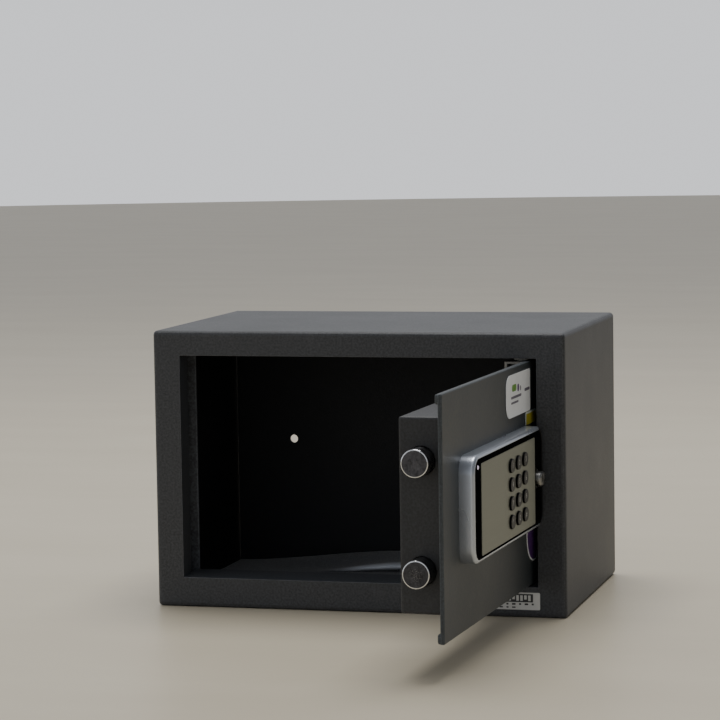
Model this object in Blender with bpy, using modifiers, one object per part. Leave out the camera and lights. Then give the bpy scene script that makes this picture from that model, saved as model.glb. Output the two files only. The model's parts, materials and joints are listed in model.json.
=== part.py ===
"""In-room hotel safe: a steel body with an open door, live bolts, keypad fascia and lock work.

Pieces are described in millimetres as (x, depth, z): x to the right, depth back from the
front face, z up from the underside. place() turns that into metres about the centre of the
underside. Door pieces are described as if the door were shut; their empty swings them open.
"""
import math

import bmesh
import bpy
from mathutils import Matrix, Vector

MM = 0.001
GAP = 0.3                       # clearance kept between touching pieces
CLEAR = 5.0                     # how far a cutter runs past the sheet that it pierces

# ---- Driving dimensions, mm ----
WIDTH = 310.0
HEIGHT = 206.0
DEPTH = 200.0
SHEET = 2.0
FOLD_RADIUS = 3.0

OPENING_HALF = 134.25
OPENING_LOW = 22.2
OPENING_HIGH = 187.7
RETURN_FREE_SIDE = 17.5         # depth of the inward fold on the bolt side
RETURN_HINGE_SIDE = 10.0
RETURN_SILL = 38.0              # top and bottom folds, which carry the hinge pins

PIVOT_X = 120.0
PIVOT_DEPTH = 19.0
DOOR_OPEN = math.radians(87.88)
PIN_RADIUS = 3.0

DOOR_HALF = 132.5
DOOR_LOW = 23.95
DOOR_HIGH = 185.95
DOOR_FACE = 9.0
DOOR_SHEET = 2.9
DOOR_BACK = DOOR_FACE + DOOR_SHEET
DOOR_MID = (DOOR_LOW + DOOR_HIGH) / 2
HEM_HEIGHT = 7.0
HEM_BACK = 14.0

BLOCK_X = (104.0, 128.0)        # hinge knuckles behind the door
BLOCK_DEPTH = (DOOR_BACK + GAP, 28.4)
BLOCK_HEIGHT = 12.0
BLOCK_INSET = 1.0               # below the door's top edge, above its bottom edge
BLOCK_SHEET = 2.4
BLOCK_POCKET_END = 113.5        # the pin's eye is solid beyond this

CASE_LEFT = -117.5
CASE_RIGHT = 105.0
CASE_LOW = 40.5
CASE_HIGH = 169.5
CASE_FRONT = DOOR_BACK + GAP
CASE_BACK = 42.5
CASE_SHEET = 1.5

BOLT_RADIUS = 9.3
BOLT_DEPTH = 27.6
BOLT_OFFSET = 36.0              # above and below the door's middle
BOLT_TIP = -132.8
BOLT_THROW = 17.0

FASCIA = (-94.0, 97.0, 69.0, 141.0)
FASCIA_FRONT = -1.5
INSET = (-91.0, 94.0, 71.5, 138.0)
INSET_FRONT = -0.9
INSET_BACK = 2.1
PLATE = (-73.8, 73.7, 73.0, 134.4)
PLATE_FRONT = -1.2
PLATE_BACK = -0.6

KEY_COLUMNS = (5.6, 24.2, 42.8)
KEY_ROWS = (122.8, 109.9, 96.9, 84.1)
KEY_SIZE = (12.8, 9.7)
KEY_FRONT = -2.7
KEY_TRAVEL = 1.2
KEY_SIDES = 20

KNOB = (84.5, 103.7)
CRANK = BOLT_THROW / 2 / math.sin(math.radians(45))
ARM_LOW = 96.0
ARM_HIGH = 114.0
CARRIAGE_FRONT = 26.6
CARRIAGE_BACK = 28.6

PLUNGER_X = 22.0
PLUNGER_RADIUS = 3.0
PLUNGER_TIP = ARM_LOW - GAP

CELL_RADIUS = 7.25
CELL_LENGTH = 50.5


# ---- Scene, materials and placing ----
def clear_scene():
    for item in list(bpy.data.objects):
        bpy.data.objects.remove(item, do_unlink=True)
    for mesh in list(bpy.data.meshes):
        bpy.data.meshes.remove(mesh)


def collection(name):
    group = bpy.data.collections.new(name)
    bpy.context.scene.collection.children.link(group)
    return group


clear_scene()
SAFE = collection("in_room_safe")
CUTTERS = collection("cutters")


def material(name, colour, roughness, metallic=0.0):
    made = bpy.data.materials.new(name)
    made.use_nodes = True
    shader = made.node_tree.nodes["Principled BSDF"]
    shader.inputs["Base Color"].default_value = (*colour, 1.0)
    shader.inputs["Roughness"].default_value = roughness
    shader.inputs["Metallic"].default_value = metallic
    return made


POWDER = material("charcoal_powder_coat", (0.035, 0.036, 0.040), 0.55)
ZINC = material("zinc_plate", (0.62, 0.62, 0.60), 0.35, 1.0)
CHROME = material("chrome", (0.75, 0.75, 0.76), 0.12, 1.0)
SILVER = material("silver_plastic", (0.55, 0.56, 0.58), 0.35, 0.6)
GLOSS = material("gloss_black", (0.01, 0.01, 0.012), 0.08)
BRUSHED = material("brushed_metal", (0.30, 0.27, 0.24), 0.38, 0.9)
RUBBER = material("key_rubber", (0.02, 0.02, 0.022), 0.45)
MAT = material("floor_mat", (0.03, 0.03, 0.034), 0.95)
PAPER = material("white_label", (0.75, 0.76, 0.78), 0.5)
YELLOW = material("yellow_label", (0.80, 0.55, 0.08), 0.5)
PURPLE = material("purple_label", (0.16, 0.05, 0.22), 0.5)
BOARD = material("circuit_board", (0.02, 0.10, 0.04), 0.5)
NYLON = material("nylon", (0.70, 0.69, 0.64), 0.45)
COPPER = material("coil_winding", (0.45, 0.16, 0.05), 0.4, 0.6)
CELL = material("cell_jacket", (0.10, 0.12, 0.16), 0.3)
LAMP = material("lamp_lens", (0.25, 0.02, 0.02), 0.1)
RED = material("reset_red", (0.45, 0.03, 0.03), 0.4)
WIRE = material("cable_jacket", (0.04, 0.04, 0.05), 0.5)


def place(x, depth, z):
    """A point of the safe, in metres about the centre of its underside."""
    return Vector((x, depth - DEPTH / 2, z)) * MM


HOMES = {}


def empty(name, at, parent=None, turn=0.0):
    made = bpy.data.objects.new(name, None)
    made.empty_display_size = 0.02
    SAFE.objects.link(made)
    HOMES[name] = at
    made.parent = parent
    made.location = at - (HOMES[parent.name] if parent else Vector())
    made.rotation_euler.z = turn
    return made


def add(name, mesh, at, look, parent=None, group=SAFE):
    """Link a mesh whose points are relative to the shut-door point at."""
    made = bpy.data.objects.new(name, mesh)
    group.objects.link(made)
    made.parent = parent
    made.location = at - (HOMES[parent.name] if parent else Vector())
    if look:
        mesh.materials.append(look)
    if group is CUTTERS:
        made.hide_render = True
        made.display_type = "WIRE"
    return made


def mesh_of(bm, name):
    mesh = bpy.data.meshes.new(name)
    bmesh.ops.recalc_face_normals(bm, faces=bm.faces)
    bm.to_mesh(mesh)
    bm.free()
    return mesh


# ---- Basic shapes ----
def block(name, x, depth, z, look=None, parent=None, group=SAFE):
    """A box from three (low, high) pairs."""
    centre = place(*[(low + high) / 2 for low, high in (x, depth, z)])
    bm = bmesh.new()
    bmesh.ops.create_cube(bm, size=1.0)
    size = [abs(high - low) * MM for low, high in (x, depth, z)]
    bmesh.ops.scale(bm, vec=size, verts=bm.verts)
    return add(name, mesh_of(bm, name), centre, look, parent, group)


def rod(name, along, centre, span, radius, look=None, parent=None, group=SAFE, sides=32, tip=None):
    """A cylinder or cone along 'x', 'y' or 'z'; centre gives the other two coordinates."""
    low, high = span
    middle = (low + high) / 2
    first, second = centre
    spot = {"x": (middle, first, second), "y": (first, middle, second), "z": (first, second, middle)}
    bm = bmesh.new()
    bmesh.ops.create_cone(bm, cap_ends=True, segments=sides, radius1=radius * MM,
                          radius2=(radius if tip is None else tip) * MM, depth=(high - low) * MM)
    if along == "x":
        bm.transform(ROTATE_TO_X)
    elif along == "y":
        bm.transform(ROTATE_TO_Y)
    made = add(name, mesh_of(bm, name), place(*spot[along]), look, parent, group)
    smooth(made)
    return made


ROTATE_TO_X = Matrix.Rotation(math.radians(90), 4, "Y")
ROTATE_TO_Y = Matrix.Rotation(math.radians(-90), 4, "X")
STAND_UP = Matrix.Rotation(math.radians(90), 4, "X")


def smooth(item, angle=40):
    item.data.shade_smooth()
    item.data.set_sharp_from_angle(angle=math.radians(angle))


def rounded_plate(name, box, depth, radii, look=None, parent=None, group=SAFE, steps=5):
    """A flat plate in the door's plane with rounded corners: radii from low-left, anticlockwise."""
    x_low, x_high, z_low, z_high = box
    corners = ((x_low, z_low, 180), (x_high, z_low, 270), (x_high, z_high, 0), (x_low, z_high, 90))
    points = []
    for (x, z, start), radius in zip(corners, radii):
        inward_x = 1 if x == x_low else -1
        inward_z = 1 if z == z_low else -1
        if radius == 0:
            points.append((x, z))
            continue
        for step in range(steps + 1):
            angle = math.radians(start + 90 * step / steps)
            points.append((x + radius * (inward_x + math.cos(angle)),
                           z + radius * (inward_z + math.sin(angle))))
    return outline(name, points, depth, look, parent, group)


def outline(name, points, depth, look=None, parent=None, group=SAFE):
    """A flat piece in the door's plane, from a closed outline and a (front, back) pair."""
    front, back = depth
    curve = bpy.data.curves.new(name, "CURVE")
    curve.dimensions = "2D"
    curve.fill_mode = "BOTH"
    curve.extrude = (back - front) / 2 * MM
    line = curve.splines.new("POLY")
    line.points.add(len(points) - 1)
    for point, (x, z) in zip(line.points, points):
        point.co = (x * MM, z * MM, 0.0, 1.0)
    line.use_cyclic_u = True
    bare = bpy.data.objects.new(name + "_outline", curve)
    bpy.context.scene.collection.objects.link(bare)
    bpy.context.view_layer.update()
    evaluated = bare.evaluated_get(bpy.context.evaluated_depsgraph_get())
    bm = bmesh.new()
    bm.from_mesh(bpy.data.meshes.new_from_object(evaluated))
    bpy.data.objects.remove(bare, do_unlink=True)
    bmesh.ops.remove_doubles(bm, verts=bm.verts, dist=0.00001)
    bm.transform(STAND_UP)
    return add(name, mesh_of(bm, name), place(0, (front + back) / 2, 0), look, parent, group)


def turned(name, profile, at, along="y", look=None, parent=None, sides=32, group=SAFE):
    """A turned piece: profile is (radius, height) from the top down, closed on the axis."""
    mesh = bpy.data.meshes.new(name)
    bm = bmesh.new()
    verts = [bm.verts.new((radius * MM, 0, height * MM)) for radius, height in profile]
    for first, second in zip(verts, verts[1:]):
        bm.edges.new((first, second))
    bm.to_mesh(mesh)
    bm.free()
    made = add(name, mesh, at, look, parent, group)
    spin = made.modifiers.new("turn", "SCREW")
    spin.steps = sides
    spin.render_steps = sides
    spin.use_merge_vertices = True
    spin.merge_threshold = 0.00001
    spin.use_smooth_shade = True
    if along == "y":
        made.rotation_euler.x = math.radians(-90)
    return made


# ---- Working on shapes ----
def bevel(item, width, segments=2, angle=35, axis=None):
    """Round the edges; with axis, only those along it."""
    edge = item.modifiers.new("edge", "BEVEL")
    edge.width = width * MM
    edge.segments = segments
    edge.limit_method = "ANGLE"
    edge.angle_limit = math.radians(angle)
    if axis is not None:
        weights = item.data.attributes.new("bevel_weight_edge", "FLOAT", "EDGE")
        for line in item.data.edges:
            first, second = (item.data.vertices[i].co for i in line.vertices)
            run = (second - first).normalized()
            weights.data[line.index].value = 1.0 if abs(run[axis]) > 0.9 else 0.0
        edge.limit_method = "WEIGHT"
    return edge


def combine(item, other, operation):
    change = item.modifiers.new(operation.lower(), "BOOLEAN")
    change.operation = operation
    change.object = other
    change.solver = "EXACT"
    if other.name not in CUTTERS.objects:
        for group in list(other.users_collection):
            group.objects.unlink(other)
        CUTTERS.objects.link(other)
    other.hide_render = True
    other.display_type = "WIRE"


def cut(item, *cutters):
    for cutter in cutters:
        combine(item, cutter, "DIFFERENCE")


def join(item, *others):
    for other in others:
        combine(item, other, "UNION")


def cut_block(item, x, depth, z, parent=None):
    name = f"cut_{item.name}_{len(item.modifiers)}"
    cut(item, block(name, x, depth, z, None, parent, CUTTERS))


def cut_rod(item, along, centre, span, radius, parent=None, sides=24):
    name = f"cut_{item.name}_{len(item.modifiers)}"
    cut(item, rod(name, along, centre, span, radius, None, parent, CUTTERS, sides))


def add_block(item, x, depth, z, parent=None):
    name = f"add_{item.name}_{len(item.modifiers)}"
    join(item, block(name, x, depth, z, None, parent, CUTTERS))


def add_rod(item, along, centre, span, radius, parent=None, sides=24, tip=None):
    name = f"add_{item.name}_{len(item.modifiers)}"
    join(item, rod(name, along, centre, span, radius, None, parent, CUTTERS, sides, tip))


# ---- Body ----
REAR_HOLES = (-105.7, 105.7)
REAR_HOLE_Z = 103.0
BASE_HOLE_DEPTH = 100.0
FIXING_RADIUS = 3.25


def round_but_rear(shell):
    """Fold radius on every edge of the box except those round its open back."""
    bevel(shell, FOLD_RADIUS, 3).limit_method = "WEIGHT"
    weights = shell.data.attributes.new("bevel_weight_edge", "FLOAT", "EDGE")
    for line in shell.data.edges:
        at_rear = all(shell.data.vertices[i].co.y > 0 for i in line.vertices)
        weights.data[line.index].value = 0.0 if at_rear else 1.0


def body_shell():
    half = WIDTH / 2
    shell = block("body_shell", (-half, half), (0, DEPTH), (0, HEIGHT), POWDER)
    round_but_rear(shell)
    inner = half - SHEET
    cut_block(shell, (-inner, inner), (SHEET, DEPTH + 5), (SHEET, HEIGHT - SHEET))
    side = OPENING_HALF + SHEET
    low = OPENING_LOW - SHEET
    high = OPENING_HIGH + SHEET
    skin = 0.5 * SHEET
    add_block(shell, (-side, -OPENING_HALF), (skin, RETURN_FREE_SIDE), (low, high))
    add_block(shell, (OPENING_HALF, side), (skin, RETURN_HINGE_SIDE), (low, high))
    add_block(shell, (-side, side), (skin, RETURN_SILL), (low, OPENING_LOW))
    add_block(shell, (-side, side), (skin, RETURN_SILL), (OPENING_HIGH, high))
    cut_block(shell, (-OPENING_HALF, OPENING_HALF), (-5, 10), (OPENING_LOW, OPENING_HIGH))
    for x in REAR_HOLES:
        cut_rod(shell, "z", (x, BASE_HOLE_DEPTH), (-5, 10), FIXING_RADIUS)
    for z in (low + SHEET / 2, high - SHEET / 2):
        cut_rod(shell, "z", (PIVOT_X, PIVOT_DEPTH), (z - 3, z + 3), PIN_RADIUS + GAP)
    return shell


def back_panel():
    half = WIDTH / 2 - SHEET - GAP
    low = SHEET + GAP
    panel = block("back_panel", (-half, half), (DEPTH - SHEET, DEPTH), (low, HEIGHT - low), POWDER)
    for x in REAR_HOLES:
        cut_rod(panel, "y", (x, REAR_HOLE_Z), (DEPTH - 10, DEPTH + 5), FIXING_RADIUS)


MAT_MARGIN = 1.5
MAT_THICK = 2.0
MAT_HOLE_RADIUS = 8.0


def floor_mat():
    low = SHEET + GAP
    edge = WIDTH / 2 - SHEET - MAT_MARGIN
    span = (2 * SHEET, DEPTH - 2 * SHEET - 0.5)
    mat = block("floor_mat", (-edge, edge), span, (low, low + MAT_THICK), MAT)
    bevel(mat, 6.0, 3, axis=2)
    for x in REAR_HOLES:
        cut_rod(mat, "z", (x, BASE_HOLE_DEPTH), (0, 10), MAT_HOLE_RADIUS)


KEEPER_FRONT = 39.5
KEEPER_Z = (4.6, 203.4)


def bolt_keeper():
    wall = -WIDTH / 2 + SHEET + GAP
    keeper = block("bolt_keeper", (wall, -135.0), (KEEPER_FRONT, KEEPER_FRONT + 2.0), KEEPER_Z, POWDER)
    add_block(keeper, (wall, wall + 2.0), (KEEPER_FRONT + 1.0, KEEPER_FRONT + 24.0), KEEPER_Z)


WASHER_BOTTOM = OPENING_HIGH - DOOR_HIGH + BLOCK_INSET - GAP


def hinge_hardware():
    """Pins headed beyond the folds, and a washer on each, above and below the door."""
    heads = {"upper": (OPENING_HIGH, 1), "lower": (OPENING_LOW, -1)}
    for side, (face, up) in heads.items():
        at = place(PIVOT_X, PIVOT_DEPTH, face)
        head_low = SHEET + GAP
        profile = [(0, head_low + 1.8), (3.9, head_low + 1.8), (4.5, head_low + 1.2), (4.5, head_low),
                   (PIN_RADIUS, head_low), (PIN_RADIUS, -12.4), (2.4, -13.2), (0, -13.2)]
        pin = turned("hinge_pin_" + side, profile, at, "z", ZINC, sides=20)
        bore = PIN_RADIUS + GAP
        ring = [(bore, -GAP), (5.5, -GAP), (5.5, -WASHER_BOTTOM), (bore, -WASHER_BOTTOM), (bore, -GAP)]
        washer = turned("hinge_washer_" + side, ring, at, "z", NYLON, sides=20)
        if up < 0:
            pin.rotation_euler.x = math.pi
            washer.rotation_euler.x = math.pi


FRAME_LABEL = (84.0, 135.7, 5.8, 18.4)


def frame_label():
    rounded_plate("frame_label", FRAME_LABEL, (-2 * GAP, -GAP), (0.8,) * 4, PAPER, steps=2)


# ---- Door ----
def door_plate(door):
    plate = block("door_plate", (-DOOR_HALF, DOOR_HALF), (DOOR_FACE, DOOR_BACK),
                  (DOOR_LOW, DOOR_HIGH), POWDER, door)
    bevel(plate, 0.8, 2)
    hems = {"upper": (DOOR_HIGH - HEM_HEIGHT, DOOR_HIGH), "lower": (DOOR_LOW, DOOR_LOW + HEM_HEIGHT)}
    for side, span in hems.items():
        hem = block("hem_" + side, (-DOOR_HALF, HEM_END), (DOOR_FACE + 1.0, HEM_BACK), span,
                    None, door, CUTTERS)
        bevel(hem, 1.6, 2)
        join(plate, hem)
    for x, z in CASE_SCREWS:
        add_rod(plate, "y", (x, z), (DOOR_BACK - 1.0, CASE_BACK - CASE_SHEET - GAP), 4.0, door, 6)
        cut_rod(plate, "y", (x, z), (CASE_BACK - SCREW_BORE, CASE_BACK), SCREW_RADIUS + GAP, door, 16)
    cut_rod(plate, "y", KNOB, (DOOR_FACE - 2, DOOR_BACK + 2), 3.6, door)
    cut_rod(plate, "y", CABLE_HOLE, (DOOR_FACE - 2, DOOR_BACK + 2), CABLE_HOLE_RADIUS, door)


HEM_END = 102.0
CASE_SCREWS = ((-66.0, 160.0), (90.0, 50.0))
SCREW_BORE = 13.0               # depth of the screws' holes in the door's pillars
CABLE_HOLE = (-30.0, 86.0)
CABLE_HOLE_RADIUS = 5.0


def hinge_blocks(door):
    """Steel knuckles: boxes folded from sheet, open towards the bolts, with a solid eye."""
    top = DOOR_HIGH - BLOCK_INSET
    bottom = DOOR_LOW + BLOCK_INSET
    spans = {"upper": (top - BLOCK_HEIGHT, top), "lower": (bottom, bottom + BLOCK_HEIGHT)}
    for side, span in spans.items():
        knuckle = block("hinge_block_" + side, BLOCK_X, BLOCK_DEPTH, span, ZINC, door)
        bevel(knuckle, 1.2, 3, axis=2)
        cut_rod(knuckle, "z", (PIVOT_X, PIVOT_DEPTH), (span[0] - 2, span[1] + 2), PIN_RADIUS + GAP, door)
        cut_block(knuckle, (BLOCK_X[0] - CLEAR, BLOCK_POCKET_END),
                  (BLOCK_DEPTH[0] + BLOCK_SHEET, BLOCK_DEPTH[1] - BLOCK_SHEET),
                  (span[0] + BLOCK_SHEET, span[1] - 1.4), door)


BATTERY_OPENING = ((-52.0, 62.0), (118.0, 154.0))
RESET = (-40.0, 72.0)
BOARD_PILLARS = ((-66.0, 60.0), (-14.0, 60.0))


def bolt_heights():
    return {"upper": DOOR_MID + BOLT_OFFSET, "lower": DOOR_MID - BOLT_OFFSET}


def lock_case(door):
    case = block("lock_case", (CASE_LEFT, CASE_RIGHT), (CASE_FRONT, CASE_BACK), (CASE_LOW, CASE_HIGH),
                 POWDER, door)
    bevel(case, 1.6, 2)
    inner_x = (CASE_LEFT + CASE_SHEET, CASE_RIGHT - CASE_SHEET)
    inner_z = (CASE_LOW + CASE_SHEET, CASE_HIGH - CASE_SHEET)
    cut_block(case, inner_x, (CASE_FRONT - CLEAR, CASE_BACK - CASE_SHEET), inner_z, door)
    for x, z in BOARD_PILLARS:
        add_rod(case, "y", (x, z), (BOARD_BACK + GAP, CASE_BACK - CASE_SHEET / 2), PILLAR_RADIUS, door, 12)
    through_side = (CASE_LEFT - CLEAR, CASE_LEFT + CLEAR)
    for z in bolt_heights().values():
        cut_rod(case, "x", (BOLT_DEPTH, z), through_side, BOLT_RADIUS + 0.5, door, 40)
    through_back = (CASE_BACK - CLEAR, CASE_BACK + CLEAR)
    cut_block(case, BATTERY_OPENING[0], through_back, BATTERY_OPENING[1], door)
    cut_rod(case, "y", RESET, through_back, RESET_RADIUS + 0.4, door)
    for x, z in CASE_SCREWS:
        cut_rod(case, "y", (x, z), through_back, SCREW_RADIUS + GAP, door, 16)


RESET_RADIUS = 3.5
PILLAR_RADIUS = 2.5
SCREW_RADIUS = 1.7
BOARD_FRONT = 34.9
BOARD_BACK = 36.5
SOCKET_HEIGHT = 1.8


def case_screws(door):
    for side, (x, z) in zip(("upper", "lower"), CASE_SCREWS):
        face = CASE_BACK + GAP
        profile = [(0, 2.2), (1.6, 2.2), (3.2, 1.3), (3.5, 0.5), (3.5, 0.0), (SCREW_RADIUS, 0.0),
                   (SCREW_RADIUS, -8.0), (0, -8.0)]
        screw = turned("case_screw_" + side, profile, place(x, face, z), "y", ZINC, door, 16)
        cut_cross(screw, x, z, face, door)


def cut_cross(screw, x, z, face, door):
    """A cross recess in a screw head."""
    long, thin = 1.7, 0.4
    recess = (face + 1.0, face + CLEAR)
    for half_wide, half_tall in ((long, thin), (thin, long)):
        cut_block(screw, (x - half_wide, x + half_wide), recess, (z - half_tall, z + half_tall), door)


BOX_X = (-50.0, 60.0)
BOX_Z = (119.5, 152.5)
BOX_DEPTH = (24.5, CASE_BACK - CASE_SHEET - GAP)
BOX_WALL = 1.5


def battery_box(door):
    box = block("battery_box", BOX_X, BOX_DEPTH, BOX_Z, NYLON, door)
    cut_block(box, (BOX_X[0] + BOX_WALL, BOX_X[1] - BOX_WALL), (BOX_DEPTH[0] + BOX_WALL, BOX_DEPTH[1] + 5),
              (BOX_Z[0] + BOX_WALL, BOX_Z[1] - BOX_WALL), door)
    middle = sum(BOX_X) / 2
    for index in range(4):
        column, row = index % 2, index // 2
        left = middle + GAP + 0.9 if column else middle - GAP - 0.9 - CELL_LENGTH
        z = BOX_Z[0] + BOX_WALL + GAP + CELL_RADIUS + row * (2 * CELL_RADIUS + GAP)
        cell(f"cell_{index + 1}", left, z, -1 if (column + row) % 2 else 1, door)


def cell(name, left, z, way, door):
    """An AA cell lying along x, its nub on the side that way gives."""
    half = CELL_LENGTH / 2
    profile = [(0, half), (2.6, half), (2.6, half - 1.2), (6.6, half - 1.2), (CELL_RADIUS, half - 1.9),
               (CELL_RADIUS, -half + 0.6), (6.7, -half), (0, -half)]
    depth = BOX_DEPTH[0] + BOX_WALL + GAP + CELL_RADIUS - 0.3
    made = turned(name, profile, place(left + half, depth, z), "z", CELL, door, 16)
    made.rotation_euler.y = math.radians(90 * way)


COVER_SLOT_X = 5.0


def battery_cover(door):
    (left, right), (low, high) = BATTERY_OPENING
    edge = 1.5
    lid = (left - edge, right + edge, low - edge, high + edge)
    front = CASE_BACK + GAP
    cover = rounded_plate("battery_cover", lid, (front, front + 1.6), (2.0,) * 4, NYLON, door, steps=3)
    thumb = rod("cover_thumb", "y", (COVER_SLOT_X, high - 4), (front + 0.9, front + 5), 5.0, None, door,
                CUTTERS, 20)
    cut(cover, thumb)


def reset_button(door):
    back = CASE_BACK - CASE_SHEET - GAP
    profile = [(0, 3.4), (RESET_RADIUS - 0.7, 3.4), (RESET_RADIUS, 2.7), (RESET_RADIUS, 0.0), (5.2, 0.0),
               (5.2, -1.6), (0, -1.6)]
    turned("reset_button", profile, place(RESET[0], back, RESET[1]), "y", RED, door, 20)


def main_board(door):
    board = block("main_board", (-74.0, -4.0), (BOARD_FRONT, BOARD_BACK), (50.0, 91.0), BOARD, door)
    chips = ((-60.0, -48.0, 76.0, 86.0), (-30.0, -22.0, 78.0, 86.0), (-52.0, -40.0, 56.0, 60.0))
    for left, right, low, high in chips:
        add_block(board, (left, right), (BOARD_FRONT - SOCKET_HEIGHT, BOARD_FRONT + 0.5), (low, high), door)
    for x in (-24.0, -12.0):
        add_rod(board, "y", (x, 70.0), (BOARD_FRONT - 5.0, BOARD_FRONT + 0.5), 3.0, door, 16)


# ---- Fascia ----
def fascia_bezel(door):
    bezel = rounded_plate("fascia_bezel", FASCIA, (FASCIA_FRONT, DOOR_FACE - GAP), (12.0,) * 4, SILVER, door)
    hollow = rounded_plate("cut_bezel_back", shrink(FASCIA, 2.2), (FASCIA_FRONT + 1.2, DOOR_FACE + 3),
                           (9.8,) * 4, None, door, CUTTERS)
    window = rounded_plate("cut_bezel_front", grow(INSET, GAP), (FASCIA_FRONT - 3, DOOR_FACE + 3),
                           (9.6,) * 4, None, door, CUTTERS)
    soften = bevel(bezel, 2.2, 3, angle=60)
    soften.limit_method = "WEIGHT"
    weigh_front_edges(bezel)
    cut(bezel, hollow, window)


def weigh_front_edges(item):
    """Bevel only the rim of the front face."""
    weights = item.data.attributes.new("bevel_weight_edge", "FLOAT", "EDGE")
    front = min(vertex.co.y for vertex in item.data.vertices)
    faces_at_front = {}
    for face in item.data.polygons:
        flat = all(abs(item.data.vertices[i].co.y - front) < 1e-6 for i in face.vertices)
        for key in face.edge_keys:
            faces_at_front.setdefault(key, []).append(flat)
    for line in item.data.edges:
        sides = faces_at_front.get(line.key, [])
        weights.data[line.index].value = 1.0 if any(sides) and not all(sides) else 0.0


def shrink(box, by):
    return (box[0] + by, box[1] - by, box[2] + by, box[3] - by)


def grow(box, by):
    return shrink(box, -by)


def key_spots():
    return [(x, z) for z in KEY_ROWS for x in KEY_COLUMNS]


def key_cutter(name, door):
    """Twelve oval plugs in one cutter."""
    cutter = bmesh.new()
    for x, z in key_spots():
        before = set(cutter.verts)
        bmesh.ops.create_cone(cutter, cap_ends=True, segments=KEY_SIDES, radius1=1.0, radius2=1.0,
                              depth=20 * MM)
        fresh = [vertex for vertex in cutter.verts if vertex not in before]
        bmesh.ops.transform(cutter, matrix=ROTATE_TO_Y, verts=fresh)
        wide, tall = (size / 2 + GAP for size in KEY_SIZE)
        bmesh.ops.scale(cutter, vec=(wide * MM, 1, tall * MM), verts=fresh)
        bmesh.ops.translate(cutter, vec=(x * MM, 0, z * MM), verts=fresh)
    return add(name, mesh_of(cutter, name), place(0, 0, 0), None, door, CUTTERS)


LAMP_SPOT = (-81.5, 132.7)
LAMP_RADIUS = 1.5
KNOB_RADIUS = 8.2


def fascia_inset(door):
    inset = rounded_plate("fascia_inset", INSET, (INSET_FRONT, INSET_BACK), (9.3,) * 4, GLOSS, door)
    pocket = rounded_plate("cut_plate_pocket", grow(PLATE, GAP), (INSET_FRONT - 3, PLATE_BACK + GAP),
                           (1.3,) * 4, None, door, CUTTERS, 2)
    cut(inset, pocket, key_cutter("cut_inset_keys", door))
    cut_rod(inset, "y", LAMP_SPOT, (INSET_FRONT - 5, INSET_BACK + 5), LAMP_RADIUS + GAP, door, 16)
    cut_rod(inset, "y", KNOB, (INSET_FRONT - 5, INSET_BACK + 5), KNOB_RADIUS + GAP, door, 32)


def keypad_plate(door):
    depth = (PLATE_FRONT, PLATE_BACK)
    plate = rounded_plate("keypad_plate", PLATE, depth, (1.0,) * 4, BRUSHED, door, steps=2)
    cut(plate, key_cutter("cut_plate_keys", door))


def key_names():
    names = []
    for row in range(1, 5):
        for column in range(1, 4):
            names.append(f"key_row{row}_col{column}")
    return names


KEY_FLANGE = INSET_BACK + GAP


def keys(door):
    """Sprung keys, each with a flange behind the inset: sections are (share of the size, depth)."""
    sections = ((0.80, KEY_FRONT), (0.93, KEY_FRONT + 0.35), (1.0, KEY_FRONT + 0.9), (1.0, KEY_FLANGE),
                (1.14, KEY_FLANGE), (1.14, KEY_FLANGE + 1.0))
    for name, (x, z) in zip(key_names(), key_spots()):
        bm = bmesh.new()
        rings = []
        for size, depth in sections:
            wide = KEY_SIZE[0] / 2 * size
            tall = KEY_SIZE[1] / 2 * size
            ring = bmesh.ops.create_circle(bm, segments=KEY_SIDES, radius=1.0)["verts"]
            bmesh.ops.rotate(bm, matrix=ROTATE_TO_Y.to_3x3(), verts=ring)
            bmesh.ops.scale(bm, vec=(wide * MM, 1, tall * MM), verts=ring)
            bmesh.ops.translate(bm, vec=(0, depth * MM, 0), verts=ring)
            rings.append(ring)
        for near, far in zip(rings, rings[1:]):
            for index in range(KEY_SIDES):
                after = (index + 1) % KEY_SIDES
                bm.faces.new((near[index], near[after], far[after], far[index]))
        bm.faces.new(rings[0])
        bm.faces.new(rings[-1])
        made = add(name, mesh_of(bm, name), place(x, 0, z), RUBBER, door)
        smooth(made)


def led_lens(door):
    profile = [(0, 0.6), (0.8, 0.5), (1.3, 0.1), (LAMP_RADIUS, -0.4), (LAMP_RADIUS, -4.2), (0, -4.2)]
    lens = turned("led_lens", profile, place(LAMP_SPOT[0], INSET_FRONT, LAMP_SPOT[1]), "y", LAMP, door, 16)
    lens.rotation_euler.x = math.radians(90)


MAT_DEPTH = (KEY_FLANGE + 1.0 + KEY_TRAVEL + GAP, 6.0)
KEYPAD_BOARD_DEPTH = (6.3, 7.7)


def keypad_electronics(door):
    mat = block("keypad_mat", (-6.0, 54.0), MAT_DEPTH, (76.0, 131.0), RUBBER, door)
    bevel(mat, 2.0, 2, axis=1)
    board = block("keypad_board", (-86.0, 70.0), KEYPAD_BOARD_DEPTH, (74.0, 136.0), BOARD, door)
    chip_depth = (KEYPAD_BOARD_DEPTH[0] - 1.6, KEYPAD_BOARD_DEPTH[0] + 0.5)
    add_block(board, (-56.0, -44.0), chip_depth, (96.0, 108.0), door)
    cut_rod(board, "y", CABLE_HOLE, (0, 12), CABLE_HOLE_RADIUS, door)


# ---- Turn knob ----
GRIP_LONG = 15.4
GRIP_WIDE = 10.6
GRIP_FRONT = -4.6
DISC_DEPTH = (0.4, 3.0)


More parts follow.
